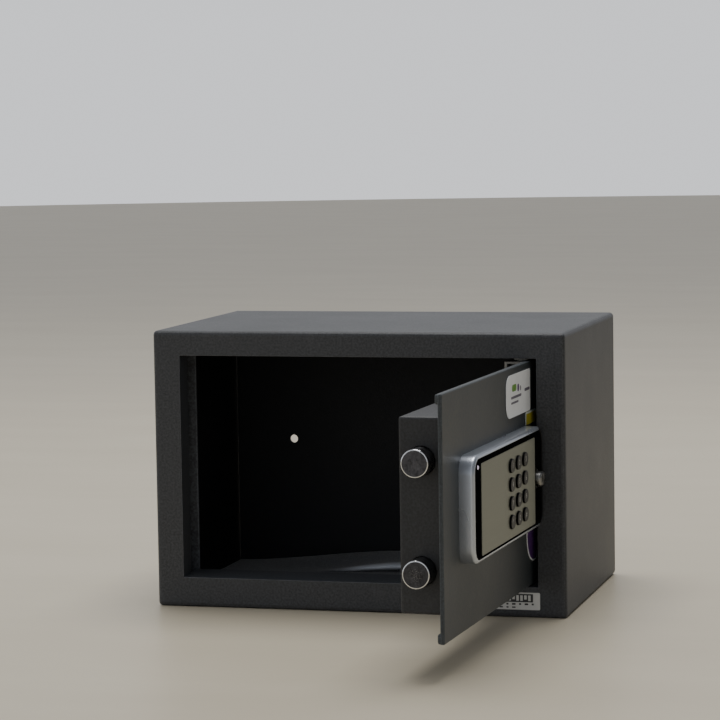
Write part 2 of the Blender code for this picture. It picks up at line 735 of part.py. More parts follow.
def turn_knob(knob):
    x, z = KNOB
    disc = rod("knob_grip", "y", KNOB, DISC_DEPTH, KNOB_RADIUS, CHROME, knob, sides=32)
    half_long = GRIP_LONG / 2
    half_wide = GRIP_WIDE / 2
    grip = rounded_plate("add_knob_bar", (x - half_long, x + half_long, z - half_wide, z + half_wide),
                         (GRIP_FRONT, DISC_DEPTH[0] + 0.6), (half_wide - 0.2,) * 4, None, knob, CUTTERS, 6)
    weigh_front_edges(grip)
    soften = bevel(grip, 1.3, 3)
    soften.limit_method = "WEIGHT"
    join(disc, grip)
    rod("knob_spindle", "y", KNOB, (DISC_DEPTH[1] + GAP, CAM_DEPTH[1] + 0.6), 3.0, ZINC, knob, sides=24)
    drive_cam(knob)


CAM_DEPTH = (21.6, 24.6)
PIN_BACK = 30.4
CRANK_PIN_RADIUS = 2.0
CRANK_SLOT_SPARE = 0.7


def crank_pin():
    """Where the crank pin stands with the bolts drawn back."""
    angle = math.radians(45)
    return (KNOB[0] + CRANK * math.sin(angle), KNOB[1] + CRANK * math.cos(angle))


def drive_cam(knob):
    """Two round ends of different size joined by their common tangents."""
    far = crank_pin()
    hub, nose = 6.5, 4.0
    lean = math.degrees(math.acos((hub - nose) / CRANK))
    points = []
    steps = 14
    arcs = ((KNOB, hub, 45 + lean, 360 - 2 * lean), (far, nose, 45 - lean, 2 * lean))
    for centre, radius, start, sweep in arcs:
        for step in range(steps + 1):
            angle = math.radians(start + sweep * step / steps)
            points.append((centre[0] + radius * math.cos(angle), centre[1] + radius * math.sin(angle)))
    cam = outline("drive_cam", points, CAM_DEPTH, ZINC, knob)
    add_rod(cam, "y", far, (CAM_DEPTH[1] - 1.0, PIN_BACK), CRANK_PIN_RADIUS, knob, 20)
    cut_rod(cam, "y", KNOB, (CAM_DEPTH[0] - 3, CAM_DEPTH[1] + 3), 3.0 + GAP, knob, 24)


# ---- Bolt work ----
UPRIGHT_X = (-94.5, -76.5)
UPRIGHT_Z = (DOOR_MID - 47.0, DOOR_MID + 47.0)
EAR_X = (85.0, 100.5)
EAR_HIGH = 122.0
GUIDE_SPOTS = {"left": -60.0, "right": 48.0}
GUIDE_NECK = 2.5
NOTCH_HIGH = 101.0
NOTCH_HALF = 4.0                # half the width of the notch that the plunger locks


def cut_slot(plate, name, box, end_radius, slide):
    """A round-ended slot through the carriage."""
    depth = (CARRIAGE_FRONT - CLEAR, CARRIAGE_BACK + CLEAR)
    radii = (end_radius - 0.05,) * 4
    cut(plate, rounded_plate("cut_slot_" + name, box, depth, radii, None, slide, CUTTERS, 4))


def bolt_carriage(slide):
    plate_depth = (CARRIAGE_FRONT, CARRIAGE_BACK)
    plate = block("bolt_carriage", UPRIGHT_X, plate_depth, UPRIGHT_Z, ZINC, slide)
    add_block(plate, (UPRIGHT_X[1] - 4, EAR_X[1]), plate_depth, (ARM_LOW, ARM_HIGH), slide)
    add_block(plate, EAR_X, plate_depth, (ARM_HIGH - 2, EAR_HIGH), slide)
    middle = (ARM_LOW + ARM_HIGH) / 2
    half = GUIDE_NECK + GAP
    for side, x in GUIDE_SPOTS.items():
        slot_x = (x - half - GAP, x + BOLT_THROW + half + GAP)
        cut_slot(plate, "guide_" + side, (*slot_x, middle - half, middle + half), half, slide)
    notch_x = PLUNGER_X + BOLT_THROW
    cut_block(plate, (notch_x - NOTCH_HALF, notch_x + NOTCH_HALF),
              (CARRIAGE_FRONT - CLEAR, CARRIAGE_BACK + CLEAR), (ARM_LOW - CLEAR, NOTCH_HIGH), slide)
    pin_x, pin_z = crank_pin()
    reach = CRANK_PIN_RADIUS + CRANK_SLOT_SPARE
    top = KNOB[1] + CRANK
    cut_slot(plate, "crank", (pin_x - reach, pin_x + reach, pin_z - reach, top + reach), reach, slide)
    for side, z in bolt_heights().items():
        live_bolt("bolt_" + side, z, slide)


def live_bolt(name, z, slide):
    """Round bolt with a chamfered rim, butted to the carriage."""
    length = UPRIGHT_X[0] - GAP - BOLT_TIP
    profile = [(0, 0), (8.2, 0), (8.5, -0.1), (BOLT_RADIUS, -0.9), (BOLT_RADIUS, -length), (0, -length)]
    made = turned(name, profile, place(BOLT_TIP, BOLT_DEPTH, z), "z", CHROME, slide, 40)
    made.rotation_euler.y = math.radians(-90)


def bolt_guides(door):
    left = CASE_LEFT + CASE_SHEET + GAP
    for side, z in bolt_heights().items():
        bore = BOLT_RADIUS + 0.4
        ring = [(bore, 0), (12.2, 0), (12.2, -3.2), (bore, -3.2), (bore, 0)]
        bush = turned("bolt_bush_" + side, ring, place(left, BOLT_DEPTH, z), "z", NYLON, door, 32)
        bush.rotation_euler.y = math.radians(-90)
    for side, x in GUIDE_SPOTS.items():
        face = DOOR_BACK + GAP
        profile = [(0, 18.6), (4.5, 18.6), (4.5, 17.0), (GUIDE_NECK, 17.0), (GUIDE_NECK, 14.1), (4.5, 14.1),
                   (4.5, 0), (0, 0)]
        spot = place(x, face, (ARM_LOW + ARM_HIGH) / 2)
        turned("carriage_guide_" + side, profile, spot, "y", ZINC, door, 20)


# ---- Solenoid lock ----
COIL_Z = (56.0, 80.0)
COIL_RADIUS = 9.0
PLUNGER_DEPTH = 27.6
FRAME_X = (8.0, 36.0)
FRAME_DEPTH = (17.5, 37.7)
FRAME_Z = (53.0, 83.0)
COLLAR_Z = 92.2
COLLAR_RADIUS = 5.4
PLUNGER_LOW = 62.0


def solenoid(door):
    frame = block("solenoid_frame", FRAME_X, FRAME_DEPTH, FRAME_Z, ZINC, door)
    cut_block(frame, (FRAME_X[0] - 5, FRAME_X[1] - 2.5), (FRAME_DEPTH[0] - 5, FRAME_DEPTH[1] + 5),
              (COIL_Z[0] - GAP, COIL_Z[1] + GAP), door)
    axis = (PLUNGER_X, PLUNGER_DEPTH)
    bore = PLUNGER_RADIUS + 0.4
    cut_rod(frame, "z", axis, (FRAME_Z[0] - CLEAR, FRAME_Z[1] + CLEAR), bore, door)
    coil = rod("solenoid_coil", "z", axis, COIL_Z, COIL_RADIUS, COPPER, door, sides=28)
    cut_rod(coil, "z", axis, (COIL_Z[0] - CLEAR, COIL_Z[1] + CLEAR), bore, door)
    tip = PLUNGER_TIP
    collar_top = COLLAR_Z + 1.2
    profile = [(0, tip), (2.2, tip), (PLUNGER_RADIUS, tip - 0.8), (PLUNGER_RADIUS, collar_top),
               (COLLAR_RADIUS, collar_top), (COLLAR_RADIUS, COLLAR_Z), (PLUNGER_RADIUS, COLLAR_Z),
               (PLUNGER_RADIUS, PLUNGER_LOW), (0, PLUNGER_LOW)]
    turned("solenoid_plunger", profile, place(*axis, 0), "z", CHROME, door, 20)
    plunger_spring(door)


SPRING_WIRE = 0.35
SPRING_TURNS = 4


def plunger_spring(door):
    """Open-wound return spring between the solenoid frame and the plunger's collar."""
    low = FRAME_Z[1] + GAP + SPRING_WIRE
    high = COLLAR_Z - GAP - SPRING_WIRE
    curve = bpy.data.curves.new("plunger_spring", "CURVE")
    curve.dimensions = "3D"
    curve.bevel_depth = SPRING_WIRE * MM
    curve.bevel_resolution = 1
    curve.use_fill_caps = True
    line = curve.splines.new("POLY")
    per_turn = 14
    count = SPRING_TURNS * per_turn
    line.points.add(count)
    for index, point in enumerate(line.points):
        angle = math.tau * index / per_turn
        radius = PLUNGER_RADIUS + 1.2
        height = low + (high - low) * index / count
        point.co = (radius * math.cos(angle) * MM, radius * math.sin(angle) * MM, height * MM, 1.0)
    add("plunger_spring", curve, place(PLUNGER_X, PLUNGER_DEPTH, 0), ZINC, door)


def control_cable(door):
    """Round lead from the keypad board, through the door, to the main board."""
    x, z = CABLE_HOLE
    knots = ((x, 8.2, z), (x, 12.0, z), (x, 17.0, z - 1), (x + 1, 23.0, z - 3), (x + 1, 29.0, z - 4),
              (x + 1, BOARD_FRONT - SOCKET_HEIGHT - GAP, z - 4))
    curve = bpy.data.curves.new("control_cable", "CURVE")
    curve.dimensions = "3D"
    curve.bevel_depth = 1.5 * MM
    curve.bevel_resolution = 2
    curve.use_fill_caps = True
    line = curve.splines.new("POLY")
    line.points.add(len(knots) - 1)
    for point, spot in zip(line.points, knots):
        point.co = (*place(*spot), 1.0)
    add("control_cable", curve, Vector(), WIRE, door)


# ---- Labels on the door ----
DOOR_LABEL = (31.5, 101.0, 151.0, 181.0)
UPPER_TAG = (87.0, 118.0, 141.3, 150.6)
LOWER_TAG = (87.0, 118.0, 41.0, 67.0)


def door_labels(door):
    depth = (DOOR_FACE - 2 * GAP, DOOR_FACE - GAP)
    rounded_plate("door_label", DOOR_LABEL, depth, (10.0, 1.5, 1.5, 10.0), PAPER, door, steps=6)
    rounded_plate("tag_upper", UPPER_TAG, depth, (0.0, 0.0, 1.5, 1.5), YELLOW, door, steps=2)
    rounded_plate("tag_lower", LOWER_TAG, depth, (20.0, 6.0, 1.5, 1.5), PURPLE, door, steps=6)


# ---- The whole safe ----
def main():
    body_shell()
    back_panel()
    floor_mat()
    bolt_keeper()
    hinge_hardware()
    frame_label()
    door = empty("door_pivot", place(PIVOT_X, PIVOT_DEPTH, DOOR_MID), None, DOOR_OPEN)
    door_plate(door)
    hinge_blocks(door)
    lock_case(door)
    case_screws(door)
    battery_box(door)
    battery_cover(door)
    reset_button(door)
    main_board(door)
    fascia_bezel(door)
    fascia_inset(door)
    keypad_plate(door)
    keys(door)
    led_lens(door)
    keypad_electronics(door)
    knob = empty("knob_axis", place(KNOB[0], CAM_DEPTH[0], KNOB[1]), door)
    turn_knob(knob)
    slide = empty("bolt_slide", place(BOLT_TIP, BOLT_DEPTH, DOOR_MID), door)
    bolt_carriage(slide)
    bolt_guides(door)
    solenoid(door)
    control_cable(door)
    door_labels(door)


main()
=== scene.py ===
"""Looks of the in-room safe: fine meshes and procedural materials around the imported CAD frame."""
import json
import math

import bmesh
import bpy
from mathutils import Matrix, Vector


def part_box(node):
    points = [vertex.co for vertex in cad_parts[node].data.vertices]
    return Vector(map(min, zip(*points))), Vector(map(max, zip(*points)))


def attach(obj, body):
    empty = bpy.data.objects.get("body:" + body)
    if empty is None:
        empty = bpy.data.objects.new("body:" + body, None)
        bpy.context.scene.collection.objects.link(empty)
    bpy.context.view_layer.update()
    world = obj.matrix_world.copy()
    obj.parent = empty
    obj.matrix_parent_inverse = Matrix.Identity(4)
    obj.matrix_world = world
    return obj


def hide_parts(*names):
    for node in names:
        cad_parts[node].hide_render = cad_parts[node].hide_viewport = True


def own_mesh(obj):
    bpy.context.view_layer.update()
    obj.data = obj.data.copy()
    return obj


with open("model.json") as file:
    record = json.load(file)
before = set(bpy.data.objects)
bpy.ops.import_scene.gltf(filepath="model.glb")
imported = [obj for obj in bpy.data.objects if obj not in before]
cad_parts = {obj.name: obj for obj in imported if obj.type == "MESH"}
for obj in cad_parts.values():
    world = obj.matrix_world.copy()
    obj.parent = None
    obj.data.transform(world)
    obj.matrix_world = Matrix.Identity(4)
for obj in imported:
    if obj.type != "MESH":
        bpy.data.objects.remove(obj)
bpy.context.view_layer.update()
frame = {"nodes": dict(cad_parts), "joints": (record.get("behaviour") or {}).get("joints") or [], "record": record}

MM = 0.001
KEYS_ACROSS = 3


# ---- The frame's own measures ----
def joint(name):
    return next(entry for entry in frame["joints"] if entry["name"] == name)


PIVOT = Vector(joint("door_hinge")["pos_m"])
DOOR_OPEN = -math.radians(joint("door_hinge")["range_deg"][0])
OPEN_DOOR = (Matrix.Translation(PIVOT) @ Matrix.Rotation(DOOR_OPEN, 4, "Z")
             @ Matrix.Translation(-PIVOT))
SHUT_DOOR = OPEN_DOOR.inverted()


def shut_box(*nodes):
    """Lowest and highest corners of door nodes, as if the door were shut."""
    points = [SHUT_DOOR @ vertex.co for node in nodes for vertex in frame["nodes"][node].data.vertices]
    low = Vector([min(point[i] for point in points) for i in range(3)])
    high = Vector([max(point[i] for point in points) for i in range(3)])
    return low, high


# ---- Node helpers ----
EDGE_RADIUS = 0.9 * MM          # how far a coated edge seems to roll over


def set_range(node, low, high, to_low, to_high):
    """Set what a Map Range node maps from and to."""
    names = ("From Min", "From Max", "To Min", "To Max")
    for name, number in zip(names, (low, high, to_low, to_high)):
        node.inputs[name].default_value = number


def shaded(base, share):
    """A colour with every channel times share, up to white."""
    return tuple(min(channel * share, 1.0) for channel in base)


class Nodes:
    """A small helper for building a material's node tree."""

    def __init__(self, name):
        self.material = bpy.data.materials.new(name)
        self.material.use_nodes = True
        self.tree = self.material.node_tree
        self.shader = self.tree.nodes["Principled BSDF"]

    def add(self, kind, **settings):
        node = self.tree.nodes.new(kind)
        for name, value in settings.items():
            setattr(node, name, value)
        return node

    def link(self, source, target):
        self.tree.links.new(source, target)

    def set(self, **inputs):
        """Plug values into the shader: base_color goes to Base Color, and so on."""
        for name, value in inputs.items():
            socket = name.replace("_", " ").title().replace("Ior", "IOR")
            self.plug(self.shader.inputs[socket], value)

    def place(self, on_door=False):
        """Coordinates in metres; on_door gives them as if the door were shut."""
        spot = self.add("ShaderNodeTexCoord").outputs["Object"]
        if not on_door:
            return spot
        turn = self.add("ShaderNodeMapping")
        turn.inputs["Rotation"].default_value = (0, 0, -DOOR_OPEN)
        turn.inputs["Location"].default_value = SHUT_DOOR.to_translation()
        self.link(spot, turn.inputs["Vector"])
        return turn.outputs["Vector"]

    def scaled(self, spot, scale):
        stretch = self.add("ShaderNodeMapping")
        stretch.inputs["Scale"].default_value = scale
        self.link(spot, stretch.inputs["Vector"])
        return stretch.outputs["Vector"]

    def noise(self, spot, scale, detail=2.0, roughness=0.5):
        node = self.add("ShaderNodeTexNoise")
        node.inputs["Scale"].default_value = scale
        node.inputs["Detail"].default_value = detail
        node.inputs["Roughness"].default_value = roughness
        self.link(spot, node.inputs["Vector"])
        return node.outputs["Fac"]

    def cells(self, spot, scale):
        node = self.add("ShaderNodeTexVoronoi")
        node.inputs["Scale"].default_value = scale
        self.link(spot, node.inputs["Vector"])
        return node.outputs["Distance"]

    def remap(self, value, low, high, to_low, to_high):
        node = self.add("ShaderNodeMapRange")
        set_range(node, low, high, to_low, to_high)
        self.link(value, node.inputs["Value"])
        return node.outputs["Result"]

    def split(self, spot):
        """The X, Y and Z of a point, by name."""
        node = self.add("ShaderNodeSeparateXYZ")
        self.link(spot, node.inputs[0])
        return node.outputs

    def waves(self, value, length):
        """A sine of value, from -1 to 1, that repeats every length."""
        return self.math("SINE", self.math("MULTIPLY", value, math.tau / length))

    def mix(self, factor, first, second):
        node = self.add("ShaderNodeMix", data_type="RGBA")
        self.plug(node.inputs[0], factor)
        self.plug(node.inputs[6], first)
        self.plug(node.inputs[7], second)
        return node.outputs[2]

    def math(self, operation, first, second=0.0):
        node = self.add("ShaderNodeMath", operation=operation)
        self.plug(node.inputs[0], first)
        self.plug(node.inputs[1], second)
        return node.outputs[0]

    def plug(self, socket, value):
        if isinstance(value, bpy.types.NodeSocket):
            self.link(value, socket)
        elif isinstance(value, tuple):
            socket.default_value = (*value, 1.0)
        else:
            socket.default_value = value

    def bump(self, height, distance, strength=1.0, under=None):
        node = self.add("ShaderNodeBump")
        node.inputs["Distance"].default_value = distance
        node.inputs["Strength"].default_value = strength
        self.link(height, node.inputs["Height"])
        if under is not None:
            self.link(under, node.inputs["Normal"])
        return node.outputs["Normal"]

    def soft_edges(self):
        """A normal that rolls over sharp edges, and a mask close to 1 on them and 0 on flats."""
        rounded = self.add("ShaderNodeBevel", samples=4)
        rounded.inputs["Radius"].default_value = EDGE_RADIUS
        true = self.add("ShaderNodeNewGeometry").outputs["Normal"]
        dot = self.add("ShaderNodeVectorMath", operation="DOT_PRODUCT")
        self.link(rounded.outputs["Normal"], dot.inputs[0])
        self.link(true, dot.inputs[1])
        return rounded.outputs["Normal"], self.remap(dot.outputs["Value"], 0.985, 0.86, 0.0, 1.0)

    def inside(self, spot, start, end):
        """1 on the body's inner faces further back than end, fading to 0 at start."""
        parts = self.split(spot)
        low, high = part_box("body_shell")
        skin = 1.0 * MM         # steel this close to the body's outside counts as outside
        share = self.remap(parts["Y"], low.y + start, low.y + end, 0.0, 1.0)
        for axis, near, far in (("X", low.x, high.x), ("Z", low.z, high.z), ("Y", low.y, high.y)):
            from_low = self.remap(parts[axis], near + skin, near + 1.3 * skin, 0.0, 1.0)
            from_high = self.remap(parts[axis], far - 1.3 * skin, far - skin, 1.0, 0.0)
            share = self.math("MULTIPLY", share, self.math("MULTIPLY", from_low, from_high))
        return share


# ---- Materials ----
PAINTED_LIGHT_DEPTHS = (0.6 * MM, 1.6 * MM)    # behind the front face: where painted light on the inner returns fades in
PAINTED_SHADE_DEPTHS = (38 * MM, 46 * MM)       # behind the front face: where painted shade on the inner walls fades in
SILVER_END = 85.5 * MM          # where the fascia's silver paint stops, short of the knob
BOLT_AXIS_Y = sum(corner.y for corner in shut_box("bolt_upper")) / 2
CREST_HIGHLIGHT_HEIGHTS = (0.8 * MM, 4.0 * MM)    # above the flat felt: where the painted highlight on the fold's crest fades in
CREST_HIGHLIGHT_DEPTHS = (144 * MM, 152 * MM)     # behind the mat's front edge: where the painted highlight fades out


def powder_coat(name, base, on_door=False, edge_rub_and_highlight=0.5, shine=0.5, painted_inner_light_and_shade=0.0):
    """Fine-textured powder coat: pebbled skin, slight sheen changes, and edges lightened partly by rubbed wear and
    partly by a painted highlight.

    The last argument paints light on the returns at the mouth, making the coat paler there, and paints shade
    further in, making it darker.
    """
    n = Nodes(name)
    spot = n.place(on_door)
    pebble = n.noise(spot, 620.0, 3.0, 0.55)
    fine = n.noise(spot, 1922.0, 1.0)
    cloud = n.noise(spot, 9.0, 3.0, 0.6)
    dust = n.remap(n.noise(spot, 55.0, 4.0, 0.7), 0.55, 0.8, 0.0, 0.10)
    colour = n.mix(n.remap(pebble, 0.36, 0.66, 0.0, 1.0), shaded(base, 0.66), shaded(base, 1.5))
    colour = n.mix(n.remap(cloud, 0.3, 0.7, 0.0, 0.22), colour, shaded(base, 1.35))
    colour = n.mix(dust, colour, (0.19, 0.19, 0.19))
    rolled, edge = n.soft_edges()
    # edges are painted paler: partly real rubbed wear, partly a painted highlight along the rolled edges
    rub_and_highlight_patches = n.remap(n.noise(spot, 130.0, 3.0), 0.36, 0.60, 0.4 * edge_rub_and_highlight, edge_rub_and_highlight)
    colour = n.mix(n.math("MULTIPLY", edge, rub_and_highlight_patches), colour, shaded(base, 5.0))
    if painted_inner_light_and_shade:
        # painted light: the returns just inside the mouth are painted paler
        painted_mouth_light = n.math("MULTIPLY", n.inside(spot, *PAINTED_LIGHT_DEPTHS), 0.75)
        colour = n.mix(painted_mouth_light, colour, shaded(base, 2.3))
        # painted shade: the inner walls further back are painted darker
        inside = n.inside(spot, *PAINTED_SHADE_DEPTHS)
        colour = n.mix(inside, colour, shaded(base, 1 - painted_inner_light_and_shade))
        shine = n.remap(inside, 0.0, 1.0, shine, 0.3 * shine)
    rough = n.remap(n.math("ADD", pebble, n.math("MULTIPLY", cloud, 0.5)), 0.5, 1.0, 0.40, 0.56)
    skin = n.bump(fine, 0.00004, 0.5, rolled)
    n.set(base_color=colour, roughness=rough, specular_ior_level=shine,
          normal=n.bump(pebble, 0.00016, 0.75, skin))
    return n.material


def plated(name, base, rough=0.30, on_door=True):
    """Bright zinc plate: soft spangle, rolling marks and a slightly dull tone."""
    n = Nodes(name)
    spot = n.place(on_door)
    marks = n.noise(n.scaled(spot, (40, 900, 900)), 1.0, 3.0)
    patch = n.noise(spot, 70.0, 3.0, 0.6)
    colour = n.mix(n.remap(patch, 0.3, 0.72, 0.0, 1.0), base, shaded(base, 0.72))
    sheen = n.remap(marks, 0.3, 0.7, rough * 0.8, rough * 1.35)
    n.set(base_color=colour, metallic=1.0, roughness=sheen, normal=n.bump(marks, 0.00003, 0.35))
    return n.material


def chrome(name, base=(0.72, 0.73, 0.75), rough=0.09):
    """Polished chrome with wiping scratches and fingerprints."""
    n = Nodes(name)
    spot = n.place(True)
    haze = n.noise(spot, 160.0, 4.0, 0.65)
    hair = n.noise(n.scaled(spot, (1500, 200, 90)), 1.0, 2.0)
    colour = n.mix(n.remap(haze, 0.4, 0.7, 0.0, 0.35), base, (0.50, 0.50, 0.51))
    sheen = n.remap(haze, 0.35, 0.75, rough, rough * 2.6)
    n.set(base_color=colour, metallic=1.0, roughness=sheen, normal=n.bump(hair, 0.000008, 0.5))
    return n.material


def turned_steel(name, height, wear_and_glint):
    """A bolt's end face: lathe rings about the bolt's axis, oily smears, and bright specks that are partly worn
    metal and partly a painted glint gathered at the centre.
    """
    n = Nodes(name)
    spot = n.place(True)
    parts = n.split(spot)
    depth = n.math("SUBTRACT", parts["Y"], BOLT_AXIS_Y)
    rise = n.math("SUBTRACT", parts["Z"], height)
    squares = n.math("ADD", n.math("MULTIPLY", depth, depth), n.math("MULTIPLY", rise, rise))
    distance = n.math("SQRT", squares)
    rings = n.waves(distance, 0.42 * MM)
    smear = n.noise(spot, 260.0, 5.0, 0.75)
    specks_and_glint = n.remap(n.noise(spot, 1100.0, 3.0, 0.7), 0.56, 0.66, 0.0, wear_and_glint)
    centre_glint = n.remap(distance, 0.6 * MM, 4.8 * MM, 1.0, 0.08)
    dirt = 1 - 0.45 * wear_and_glint
    dark, pale = (shaded((grey, grey, 1.1 * grey), dirt) for grey in (0.044, 0.126))
    tone = n.mix(n.remap(smear, 0.35, 0.7, 0.0, 1.0), dark, pale)
    # painted reflection: pale specks gathered near the centre stand for a glint on the face, along with real worn
    # metal
    tone = n.mix(n.math("MULTIPLY", specks_and_glint, centre_glint), tone, (0.62, 0.60, 0.56))
    n.set(base_color=tone, metallic=0.9, roughness=n.remap(smear, 0.3, 0.7, 0.30, 0.46),
          anisotropic=0.6, normal=n.bump(rings, 0.000012, 0.8))
    return n.material


def silver_paint(name):
    """Satin silver paint on a black moulding, which stays bare at the knob's end."""
    n = Nodes(name)
    spot = n.place(True)
    bare = n.remap(n.split(spot)["X"], SILVER_END - 0.1 * MM, SILVER_END + 0.1 * MM, 0.0, 1.0)
    flake = n.cells(spot, 3800.0)
    wave = n.noise(spot, 26.0, 2.0)
    colour = n.mix(n.remap(flake, 0.15, 0.75, 0.0, 1.0), (0.44, 0.475, 0.54), (0.55, 0.59, 0.66))
    rough = n.math("ADD", n.remap(wave, 0.3, 0.7, 0.24, 0.32), n.math("MULTIPLY", bare, 0.25))
    n.set(base_color=n.mix(bare, colour, (0.006, 0.006, 0.007)), roughness=rough, specular_ior_level=0.2,
          metallic=n.remap(bare, 0.0, 1.0, 0.85, 0.0), normal=n.bump(flake, 0.00001, 0.35))
    return n.material


def brushed_plate(name):
    """Warm grey plate brushed along its length."""
    n = Nodes(name)
    spot = n.place(True)
    hair = n.noise(n.scaled(spot, (28, 900, 4200)), 1.0, 4.0, 0.65)
    broad = n.noise(n.scaled(spot, (6, 60, 380)), 1.0, 3.0)
    dark, middle, pale = (0.178, 0.186, 0.157), (0.207, 0.215, 0.183), (0.285, 0.297, 0.254)
    colour = n.mix(n.remap(hair, 0.3, 0.7, 0.0, 1.0), dark, pale)
    colour = n.mix(n.remap(broad, 0.3, 0.7, 0.0, 0.35), colour, middle)
    n.set(base_color=colour, metallic=0.72, roughness=n.remap(hair, 0.3, 0.7, 0.34, 0.50),
          anisotropic=0.55, normal=n.bump(hair, 0.00002, 0.45))
    return n.material


def dull_black(name):
    """Fine-matt black moulding that stays dark even at a glancing angle."""
    n = Nodes(name)
    spot = n.place(True)
    fine = n.noise(spot, 1500.0, 3.0, 0.6)
    wipe = n.noise(spot, 90.0, 4.0, 0.7)
    wiped = n.remap(wipe, 0.5, 0.8, 0.0, 0.25)
    n.set(base_color=n.mix(wiped, (0.004, 0.004, 0.0045), (0.018, 0.018, 0.019)), specular_ior_level=0.0,
          roughness=n.remap(fine, 0.3, 0.7, 0.62, 0.78), normal=n.bump(fine, 0.00003, 0.6))
    return n.material


def gloss_plastic(name, base, rough):
    """Polished moulded plastic with faint finger smears and moulding ripple."""
    n = Nodes(name)
    spot = n.place(True)
    smear = n.noise(spot, 85.0, 5.0, 0.7)
    ripple = n.noise(spot, 30.0, 1.0)
    colour = n.mix(n.remap(smear, 0.45, 0.75, 0.0, 0.10), base, (0.10, 0.10, 0.10))
    sheen = n.remap(smear, 0.35, 0.75, rough, rough + 0.16)
    n.set(base_color=colour, roughness=sheen, coat_weight=0.3, normal=n.bump(ripple, 0.00006, 0.25))
    return n.material


def soft_plastic(name, base, rough):
    """Spark-eroded or rubbery plastic: fine even grain."""
    n = Nodes(name)
    spot = n.place(True)
    fine = n.noise(spot, 900.0, 3.0, 0.6)
    patch = n.noise(spot, 45.0, 3.0)
    colour = n.mix(n.remap(patch, 0.3, 0.7, 0.0, 1.0), shaded(base, 0.88), shaded(base, 1.15))
    n.set(base_color=colour, roughness=n.remap(fine, 0.3, 0.7, rough * 0.85, rough * 1.15),
          normal=n.bump(fine, 0.00004, 0.5))
    return n.material


def key_plastic(name):
    """Black keys with matt sides and a slightly polished top."""
    n = Nodes(name)
    spot = n.place(True)
    fine = n.noise(spot, 900.0, 3.0, 0.6)
    facing = n.add("ShaderNodeVectorMath", operation="DOT_PRODUCT")
    n.link(n.add("ShaderNodeTexCoord").outputs["Normal"], facing.inputs[0])
    facing.inputs[1].default_value = OPEN_DOOR.to_3x3() @ Vector((0, -1, 0))
    top = n.remap(facing.outputs["Value"], 0.55, 0.97, 0.0, 1.0)
    smear = n.noise(spot, 330.0, 4.0, 0.7)
    worn = n.mix(n.remap(smear, 0.35, 0.7, 0.0, 1.0), (0.005, 0.005, 0.0055), (0.016, 0.016, 0.017))
    n.set(base_color=n.mix(top, (0.002, 0.002, 0.0022), worn),
          roughness=n.remap(fine, 0.3, 0.7, 0.26, 0.38), normal=n.bump(fine, 0.00003, 0.4),
          specular_ior_level=n.remap(top, 0.0, 1.0, 0.02, 0.10))
    return n.material


def needle_felt(name):
    """Dark needle felt: matted fibres lying every way, a little lint, and a painted highlight along the fold's
    crest.
    """
    n = Nodes(name)
    spot = n.place()
    twist = n.noise(spot, 160.0, 4.0, 0.7)
    fibres = []
    for angle in (0.3, 1.4, 2.4):
        turn = n.add("ShaderNodeMapping")
        turn.inputs["Rotation"].default_value = (0, 0, angle)
        turn.inputs["Scale"].default_value = (2600, 240, 900)
        n.link(spot, turn.inputs["Vector"])
        fibres.append(n.noise(turn.outputs["Vector"], 1.0, 3.0, 0.6))
    pile = n.math("MAXIMUM", n.math("MAXIMUM", fibres[0], fibres[1]), fibres[2])
    colour = n.mix(n.remap(pile, 0.48, 0.75, 0.0, 1.0), (0.045, 0.048, 0.056), (0.22, 0.235, 0.27))
    colour = n.mix(n.remap(twist, 0.62, 0.75, 0.0, 0.5), colour, (0.36, 0.37, 0.40))
    parts = n.split(spot)
    low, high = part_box("floor_mat")
    crest = n.remap(parts["Z"], high.z + CREST_HIGHLIGHT_HEIGHTS[0], high.z + CREST_HIGHLIGHT_HEIGHTS[1], 0.0, 1.0)
    highlight_ahead = n.remap(parts["Y"], low.y + CREST_HIGHLIGHT_DEPTHS[0], low.y + CREST_HIGHLIGHT_DEPTHS[1], 1.0, 0.0)
    # painted highlight: the fold's crest is painted near white
    colour = n.mix(n.math("MULTIPLY", crest, highlight_ahead), colour, (0.86, 0.91, 1.0))
    n.set(base_color=colour, roughness=0.95, sheen_weight=0.35, normal=n.bump(pile, 0.0006, 0.8))
    return n.material


def printed_film(name, base, on_door=True):
    """Vinyl label stock: slight orange peel and a dulled, fibrous tone."""
    n = Nodes(name)
    spot = n.place(on_door)
    peel = n.noise(spot, 420.0, 2.0)
    tone = n.noise(spot, 60.0, 4.0, 0.65)
    colour = n.mix(n.remap(tone, 0.3, 0.7, 0.0, 1.0), base, shaded(base, 0.90))
    n.set(base_color=colour, roughness=n.remap(peel, 0.3, 0.7, 0.30, 0.42),
          normal=n.bump(peel, 0.00002, 0.4))
    return n.material


def lamp(name, base):
    """A small tinted lens with a pale glow inside."""
    n = Nodes(name)
    depth = n.noise(n.place(True), 700.0, 2.0)
    colour = n.mix(n.remap(depth, 0.4, 0.7, 0.0, 0.6), base, (0.85, 0.80, 0.88))
    n.set(base_color=colour, roughness=0.06, coat_weight=1.0, emission_color=base, emission_strength=0.55)
    return n.material


def solder_mask(name):
    """Green board: woven glass under the mask, with a faint trace pattern."""
    n = Nodes(name)
    parts = n.split(n.place(True))
    weave = n.math("MULTIPLY", n.waves(parts["X"], 0.9 * MM), n.waves(parts["Z"], 0.9 * MM))
    bus = n.waves(parts["Z"], 2.6 * MM)
    colour = n.mix(n.remap(bus, 0.2, 0.6, 0.0, 1.0), (0.010, 0.085, 0.035), (0.022, 0.15, 0.06))
    n.set(base_color=colour, roughness=0.32, normal=n.bump(weave, 0.00002, 0.5))
    return n.material


